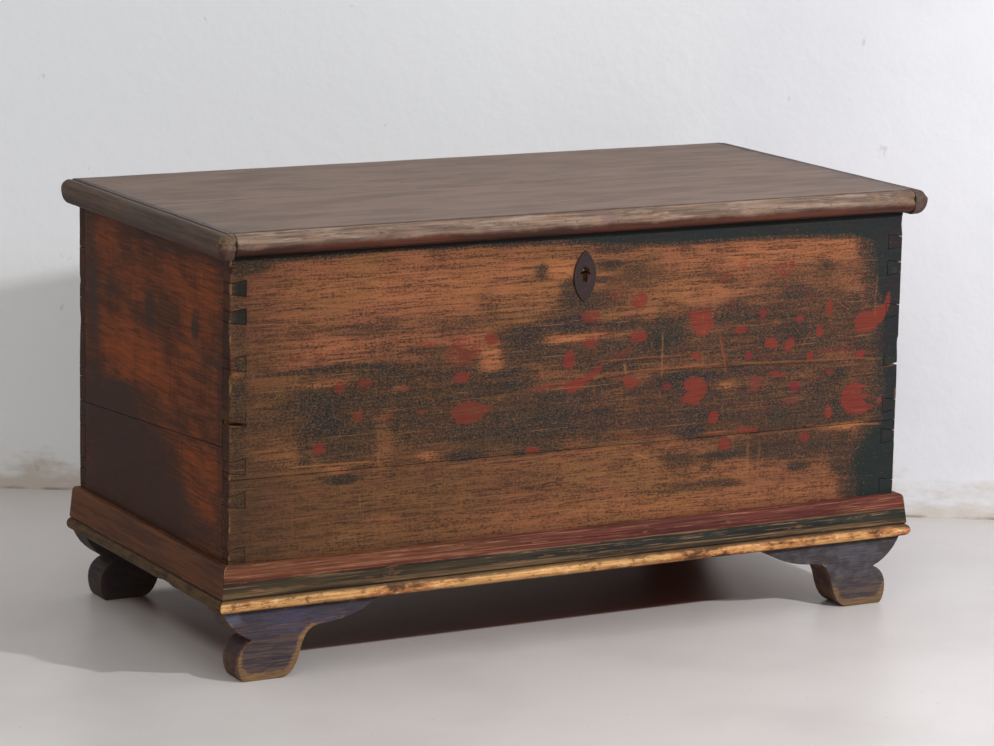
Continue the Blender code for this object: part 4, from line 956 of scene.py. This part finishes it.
CORNER_MARGINS = (0.0012, 0.0028, 0.0050, 0.0080)
CRACK_Z = 0.386
CRACK = ((-0.093, 0.379), (0.129, 0.394), (0.330, 0.387), (0.536, 0.382))
CRACK_HALF_WIDTH = 0.0008
CRACK_DEPTH = 0.0013
CRACK_PULL = 0.030
CRACK_OPENS = 0.120
CRACK_CLOSES = 0.100


def corner_radius(points):
    """How far the case's upright corners are worn round, along their height."""
    flat = points * np.array((0.0, 0.0, 1.0)) + np.array((0.5, 0.5, 0.0)) * np.sign(points)
    worn = 0.0024 + 0.0012 * lumps(flat, (1.0, 1.0, 0.040), 3) + 0.0008 * lumps(flat, (1.0, 1.0, 0.011), 5)
    chips = ramp_up(lumps(flat, (1.0, 1.0, 0.026), 9), 0.45, 0.85)
    return np.maximum(worn, 0.0008) + 0.0042 * chips


def wear_case(points, outward, seed):
    """Rounds the case's corners, and lets its boards be a little uneven, always inwards."""
    radius = corner_radius(points)
    hand = 0.00022 * (1 + lumps(points, (0.22, 0.22, 0.050), seed))
    hand += 0.00010 * (1 + lumps(points, (0.06, 0.06, 0.012), seed + 1))
    dents = 0.0007 * ramp_up(lumps(points, (0.022, 0.022, 0.016), seed + 2), 0.72, 0.98)
    points -= outward * (hand + dents)[:, None]
    for x_side, y_side in product(((0, RIGHT_X, 1), (0, LEFT_X, -1)), ((1, FRONT_Y, -1), (1, BACK_Y, 1))):
        rounded(points, (x_side, y_side), radius)
    return points


def crack_path(points):
    """Bends the cut lines on the front so that three of them follow the crack, and opens it."""
    x, off_line = points[:, 0], np.abs(points[:, 2] - CRACK_Z)
    shift = np.interp(x, *zip(*CRACK)) - CRACK_Z
    near = 1 - ramp_up(off_line, 0.006, CRACK_PULL)
    first, last = CRACK[0][0], CRACK[-1][0]
    open_here = ramp_up(x, first, first + CRACK_OPENS) * (1 - ramp_up(x, last - CRACK_CLOSES, last))
    cut = (off_line < CRACK_HALF_WIDTH / 4) & (points[:, 1] < FRONT_Y + 0.001)
    uneven = 1 + 0.6 * lumps(points, (0.03, 0.03, 0.03), 21)
    points[:, 1] += np.where(cut, CRACK_DEPTH * open_here * uneven, 0.0)
    points[:, 2] += shift * near
    return points


def make_case_board(node, finish, number, slot, steps, fine, extra=None):
    """Stands for a wall board with a worn copy. fine gives the outer side and its steps."""
    mesh, tree = fine_copy(node, steps, 0.0004, CORNER_MARGINS, fine, extra)
    points = reshape(mesh, lambda points, outward: wear_case(crack_path(points) if extra else points,
                                                             outward, number))[0]
    measures = {**front_measures(points, slot == "side_paint"), **side_measures(points)}
    finished(node + "_worn", mesh, for_board(finish, number), "case", tree, (node,), measures)


def make_case():
    finish = case_finish()
    cracked = {2: (CRACK_Z - CRACK_HALF_WIDTH, CRACK_Z, CRACK_Z + CRACK_HALF_WIDTH)}
    long_steps, end_steps = (0.020, 0.012, 0.020), (0.012, 0.020, 0.020)
    front = ((0.0, -1.0, 0.0), (0.0034, 0.012, 0.0034))
    back = ((0.0, 1.0, 0.0), (0.010, 0.012, 0.010))
    left, right = (((side, 0.0, 0.0), (0.012, 0.0070, 0.0070)) for side in (-1.0, 1.0))
    for number, (node, slot, steps, fine, extra) in enumerate((
            ("front_lower_board", "front_paint", long_steps, front, None),
            ("front_upper_board", "front_paint", long_steps, front, cracked),
            ("left_lower_board", "side_paint", end_steps, left, None),
            ("left_upper_board", "side_paint", end_steps, left, None),
            ("right_lower_board", "side_paint", end_steps, right, None),
            ("right_upper_board", "side_paint", end_steps, right, None),
            ("back_lower_board", "bare_pine", long_steps, back, None),
            ("back_upper_board", "bare_pine", long_steps, back, None)), 1):
        make_case_board(node, finish, number, slot, steps, fine, extra)


def make_plain_boards():
    """The bottom's boards and the till, with uneven faces and softened edges."""
    for nodes, finish, seed, steps in (
            (("bottom_board_1", "bottom_board_2", "bottom_board_3"), bare_finish(), 30, (0.018,) * 3),
            (("till_bottom", "till_front"), till_finish(), 40, (0.012, 0.014, 0.012))):
        for number, node in enumerate(nodes):
            worn_piece(node, finish, number, "case", steps, 0.0008, lambda points: 0.00012 * (
                1 + lumps(points, (0.10, 0.05, 0.05), seed + number)), (0.002,))


# The plinth and the feet

def plinth_wear(points, number):
    """Unevenness, chips in the bead and smaller chips in the upper edge, on the outer sides."""
    z = points[:, 2]
    low = ramp_up(PLINTH_LOW.z + 0.022 - z, 0.0, 0.010)
    chips = ramp_up(lumps(points, (0.030, 0.030, 0.030), 51 + number), 0.45, 0.85)
    top_chips = ramp_up(lumps(points, (0.018, 0.018, 0.02), 61 + number), 0.62, 0.9)
    deep = 0.0002 * (1 + lumps(points, (0.05, 0.05, 0.02), 50 + number)) + 0.0022 * chips * low
    deep += 0.0012 * top_chips * ramp_up(z, PLINTH_HIGH.z - 0.010, PLINTH_HIGH.z - 0.002)
    outer = (points[:, 1] < FRONT_Y - 0.001) | (np.abs(points[:, 0]) > RIGHT_X + 0.001)
    return np.where(outer, deep, 0.0)


def make_plinth():
    stripes, ends = plinth_finish(), plinth_end_finish()
    for number, (node, finish, slot, steps) in enumerate((
            ("plinth_front", stripes, "plinth_paint", (0.0055, 0.05, 0.006)),
            ("plinth_left", ends, "side_paint", (0.05, 0.0055, 0.006)),
            ("plinth_right", ends, "side_paint", (0.05, 0.0055, 0.006)))):
        worn_piece(node, finish, number, "case", steps, 0.0005,
                   lambda points: plinth_wear(points, number))


def foot_wear(points, number):
    """Unevenness and chips, but none under the case or on the sole."""
    deep = 0.0004 * (1 + lumps(points, (0.030, 0.030, 0.020), 70 + number))
    deep += 0.0018 * ramp_up(lumps(points, (0.016, 0.016, 0.014), 80 + number), 0.55, 0.9)
    deep *= 1 - ramp_up(points[:, 2], 0.096, 0.102)
    return deep * ramp_up(points[:, 2], 0.0002, 0.006)


def make_feet():
    finish = foot_finish()
    for number, place in enumerate(("front_left", "front_right", "back_left", "back_right")):
        worn_piece("foot_" + place, finish, number, "case", (0.0050, 0.0065, 0.0050), 0.0,
                   lambda points: foot_wear(points, number), on_face=True)


# The lid

LID_CHIPS = (
    # x, y, z, radius and depth of a bite
    (-0.5860, -0.2900, 0.6400, 0.010, 0.0035), (-0.5640, -0.2914, 0.6280, 0.007, 0.0030),
    (0.5600, -0.2914, 0.6300, 0.007, 0.0026), (0.5870, -0.2850, 0.6380, 0.009, 0.0030),
    (-0.5660, -0.2890, 0.6170, 0.006, 0.0030), (-0.2000, -0.2900, 0.6350, 0.010, 0.0014),
    (0.2400, -0.2890, 0.6360, 0.012, 0.0014), (0.0300, -0.2900, 0.6180, 0.009, 0.0012),
)


def lid_wear(points, number):
    """Unevenness in two sizes, dents along the front edge, and the larger bites."""
    deep = 0.00016 * (1 + lumps(points, (0.18, 0.035, 0.05), 90 + number))
    deep += 0.00016 * (1 + lumps(points, (0.030, 0.012, 0.02), 95 + number))
    nose = ramp_up(LID_LOW.y + 0.016 - points[:, 1], 0.0, 0.006)
    deep += 0.0010 * nose * ramp_up(lumps(points, (0.028, 0.02, 0.014), 99 + number), 0.40, 0.85)
    for x, y, z, radius, depth in LID_CHIPS:
        distance = np.linalg.norm(points - np.array((x, y, z)), axis=1) / radius
        deep += depth * np.clip(1 - distance ** 2, 0, 1) ** 2
    return deep


def make_lid():
    boards = lid_finish(), (0.0065, 0.0065, 0.0120)
    strips = strip_finish(), (0.0060, 0.0060, 0.0040)
    for number, (node, (finish, steps)) in enumerate((
            ("lid_front_board", boards), ("lid_back_board", boards),
            ("lid_strip_left", strips), ("lid_strip_right", strips))):
        worn_piece(node, finish, number, "lid", steps, 0.0004,
                   lambda points: lid_wear(points, number))


# Iron

HINGE_NODES = ["hinge_%s_%s" % names
               for names in product(("left", "right"), ("lid_strap", "case_strap", "pin"))]
BLACK_NODES = ("lid_staple", "lock_case", "lock_keeper_1", "lock_keeper_2", "escutcheon", *HINGE_NODES)
BRIGHT_NODES = ("lock_bolt", "lock_key_pin", "lock_spring")
LOCK_NAIL_LEVELS = (0.585, 0.5535)
NAIL_SIDES = 12


def make_iron():
    black = iron_finish("old_black_iron", 6.0, tint(54, 43, 44), tint(70, 48, 42), 0.55, 0.58)
    bright = iron_finish("worn_bright_iron", 7.0, tint(150, 142, 134), tint(110, 78, 60), 0.9, 0.38)
    for nodes, finish in ((BLACK_NODES, black), (BRIGHT_NODES, bright)):
        for node in nodes:
            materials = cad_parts[node].data.materials
            materials.clear()
            materials.append(finish)
    for seed, (name, *rest) in enumerate(nail_places(), 1):
        nail("nail_" + name, *rest, black, seed)


def nail(name, body, out, radius, height, at, finish, seed):
    """A forged nail head: a low faceted dome that isn't quite round."""
    mesh = bmesh.new()
    turn = Vector(out).to_track_quat("Z", "Y").to_matrix()
    loops = []
    for share, level in ((1.0, -0.0006), (1.0, 0.25 * height), (0.72, 0.75 * height), (0.30, height)):
        loop = []
        for i in range(NAIL_SIDES):
            angle = 2 * pi * i / NAIL_SIDES
            wobble = 1 + 0.10 * sin(2 * angle + seed) + 0.06 * sin(5 * angle + 2.3 * seed)
            reach = radius * share * wobble
            point = Vector((reach * cos(angle), reach * sin(angle), level))
            loop.append(mesh.verts.new(Vector(at) + turn @ point))
        loops.append(loop)
    for near, far in zip(loops, loops[1:]):
        for i in range(NAIL_SIDES):
            j = (i + 1) % NAIL_SIDES
            mesh.faces.new((near[i], near[j], far[j], far[i]))
    mesh.faces.new(loops[-1])
    mesh.faces.new(reversed(loops[0]))
    finished(name, mesh, finish, body)


def nail_places():
    """Each nail's name, body, direction, radius, height and place."""
    outer, inner, down = (0, -1, 0), (0, 1, 0), (0, 0, -1)
    for word in ("left", "right"):
        low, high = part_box("hinge_%s_case_strap" % word)
        x, y = (low.x + high.x) / 2, low.y + 0.0022
        for i, (dx, up) in enumerate(((0.0, 0.020), (-0.006, 0.042), (0.006, 0.060)), 1):
            yield "%s_case_strap_%d" % (word, i), "case", inner, 0.0042, 0.0016, (x + dx, y, low.z + up)
        y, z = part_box("hinge_%s_lid_strap" % word)[0].y, LID_LOW.z - 0.0025
        for i, (dx, in_) in enumerate(((0.0, 0.022), (0.0, 0.080), (-0.005, 0.150), (0.006, 0.205)), 1):
            yield "%s_lid_strap_%d" % (word, i), "lid", down, 0.0042, 0.0016, (x + dx, y + in_, z)
    low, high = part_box("escutcheon")
    x, level = (low.x + high.x) / 2, (low.z + high.z) / 2
    places = (0.0, high.z - 0.007), (0.0, low.z + 0.007), (-0.0125, level), (0.0125, level)
    for i, (dx, z) in enumerate(places, 1):
        yield "escutcheon_%d" % i, "case", outer, 0.0017, 0.0009, (x + dx, low.y + 0.0002, z)
    low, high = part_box("lock_case")
    for i, (x, z) in enumerate(product((low.x + 0.008, high.x - 0.008), LOCK_NAIL_LEVELS), 1):
        yield "lock_%d" % i, "case", inner, 0.0036, 0.0014, (x, low.y + 0.0022, z)


# Room, light and camera

WALL_ENDS = Vector((-0.411, 1.004, 0.0)), Vector((1.030, 0.109, 0.0))
WALL_REACH = 6.0
WALL_HEIGHT = 3.2
FLOOR_REACH = 14.0
# Colour of the wall's painted glow
WALL_PAINTED_GLOW = (0.62, 0.72, 1.0, 1.0)
SKY_TINT = (1.0, 0.98, 0.955, 1.0)
HORIZON_LIGHT = 0.12
ZENITH_LIGHT = 0.78
BACKDROP_LIGHT = 0.90
LAMP_PLACE = (1.10, -2.33, 1.69)
LAMP_AIM = (0.0, 0.0, 0.30)
LAMP_SIDE = 0.11
LAMP_POWER = 51.0
LAMP_TINT = (0.985, 0.99, 1.0)
CAMERA_PLACE = (-2.6947, -4.9256, 1.4650)
CAMERA_YAW, CAMERA_PITCH, CAMERA_ROLL = radians(28.74), radians(11.20), radians(-1.13)
CAMERA_SENSOR = 36.0
CAMERA_LENS = 136.47


def put_in_scene(name, data):
    item = bpy.data.objects.new(name, data)
    bpy.context.scene.collection.objects.link(item)
    return item


def flat_sheet(name, corners, finish):
    data = bpy.data.meshes.new(name)
    data.from_pydata([tuple(corner) for corner in corners], [], [(0, 1, 2, 3)])
    data.materials.append(finish)
    put_in_scene(name, data)


def wall_finish():
    """Plaster that is stained along its foot, painted lighter away from the lamp, with a faint painted glow
    for the camera, and that can't be seen from the back.
    """
    f = Finish("plaster_wall")
    colour = f.tones(f.noise(3, 3, 3, 4), 0.40, 0.65, (238, 239, 244), (233, 234, 239))
    # Painted light: the wall's colour is lighter on its left, away from the lamp.
    far = f.step(f.x, 0.75, 0.25)
    colour = f.mix(far, colour, tint(250, 253, 255))
    stain = f.noise(9, 9, 26, 4, 0.65)
    foot = f.times((f.z, 0.0065, 0.0015), (f.noise(16, 16, 60), 0.44, 0.60))
    colour = f.lay(colour,
        ((f.vary(f.z, (stain, 0.10)), 0.075, 0.0), 0.75, 206, 194, 178), (foot, 0.55, 120, 106, 90),
        ((f.noise(24, 24, 15, 3, 0.6), 0.70, 0.74), 0.35, 186, 184, 186))
    f.finish(colour, 0.85, f.noise(30, 30, 30, 5, 0.6), 0.0012)
    # Painted glow: for camera rays only, the wall above the shadow's height glows faintly blue, most on its
    # left.
    seen = f.new("LightPath").outputs["Is Camera Ray"]
    painted_glow = f.times(seen, f.times(f.blend(far, 0.012, 0.050), (f.z, 0.36, 0.44)))
    painted_glow = f.new("Emission", {"Color": WALL_PAINTED_GLOW, "Strength": painted_glow}).outputs[0]
    lit = f.new("AddShader", {0: f.shader.outputs[0], 1: painted_glow}).outputs[0]
    both = f.new("MixShader", {0: f.new("NewGeometry").outputs["Backfacing"], 1: lit,
                               2: f.new("BsdfTransparent").outputs[0]})
    f.link(both.outputs[0], f.tree.nodes["Material Output"].inputs[0])
    return f.material


def floor_finish():
    """Pale worn paint, with a painted shadow in dark brown under the case, where the shadow is deep."""
    f = Finish("painted_floor")
    # Painted shadow: a dark brown patch on the floor under the case, its front and right edges laid along
    # the shadow's edges.
    under = f.times((f.add(f.x, f.times(f.y, -0.42)), 0.440, 0.370), (f.x, -0.520, -0.470))
    under = f.times(under, f.times((f.y, -0.157, -0.147), (f.y, BACK_Y - 0.010, BACK_Y - 0.050)))
    colour = f.lay(
        f.tones(f.noise(2.5, 2.5, 2.5, 4), 0.40, 0.65, (214, 210, 209), (206, 201, 200)),
        (under, 0.94, 90, 38, 24), ((f.noise(75, 75, 75, 2), 0.72, 0.77), 0.45, 140, 132, 126),
        ((f.noise(22, 60, 30, 4, 0.7), 0.70, 0.73), 0.30, 168, 160, 152))
    return f.finish(colour, 0.34, f.noise(26, 26, 26, 4, 0.6), 0.0006, shine=0.40)


def make_room():
    along = (WALL_ENDS[1] - WALL_ENDS[0]).normalized() * WALL_REACH
    first, last, up = WALL_ENDS[0] - along, WALL_ENDS[1] + along, Vector((0, 0, WALL_HEIGHT))
    flat_sheet("wall", (first, last, last + up, first + up), wall_finish())
    corners = [(FLOOR_REACH * x, FLOOR_REACH * y, 0) for x, y in ((-1, -1), (1, -1), (1, 1), (-1, 1))]
    flat_sheet("floor", corners, floor_finish())


def make_light():
    """A small lamp, and a sky that is brightest above and shows as an even backdrop."""
    world = bpy.data.worlds.new("soft_studio")
    bpy.context.scene.world = world
    world.use_nodes = True
    n = Nodes(world.node_tree)
    path = n.new("LightPath").outputs
    seen = n.most(n.most(path["Is Camera Ray"], path["Is Glossy Ray"]), path["Is Transmission Ray"])
    rise = n.split(n.new("TexCoord").outputs["Generated"])[2]
    sky = n.ramp(rise, 0.0, 0.60, HORIZON_LIGHT, ZENITH_LIGHT)
    back = n.tree.nodes["Background"].inputs
    n.link(SKY_TINT, back["Color"])
    n.link(n.blend(seen, sky, BACKDROP_LIGHT), back["Strength"])
    lamp = bpy.data.lights.new("softbox", "AREA")
    lamp.shape = "RECTANGLE"
    lamp.size = lamp.size_y = LAMP_SIDE
    lamp.energy = LAMP_POWER
    lamp.color = LAMP_TINT
    item = put_in_scene("softbox", lamp)
    item.location = LAMP_PLACE
    item.rotation_mode = "QUATERNION"
    item.rotation_quaternion = (Vector(LAMP_AIM) - item.location).to_track_quat("-Z", "Y")


def make_camera():
    """The photograph's place, direction and lens."""
    yaw, pitch, roll = CAMERA_YAW, CAMERA_PITCH, CAMERA_ROLL
    forward = Vector((sin(yaw) * cos(pitch), cos(yaw) * cos(pitch), -sin(pitch)))
    level_right = Vector((cos(yaw), -sin(yaw), 0.0))
    level_down = forward.cross(level_right)
    right = cos(roll) * level_right + sin(roll) * level_down
    down = -sin(roll) * level_right + cos(roll) * level_down
    data = bpy.data.cameras.new("camera")
    data.sensor_width = CAMERA_SENSOR
    data.lens = CAMERA_LENS
    item = put_in_scene("camera", data)
    turn = Matrix((right, -down, -forward)).transposed().to_4x4()
    item.matrix_world = Matrix.Translation(CAMERA_PLACE) @ turn
    bpy.context.scene.camera = item


for make in (make_case, make_plain_boards, make_plinth, make_feet, make_lid, make_iron, make_room,
             make_light, make_camera):
    make()
bpy.context.scene.view_settings.view_transform = "Standard"
bpy.context.view_layer.update()
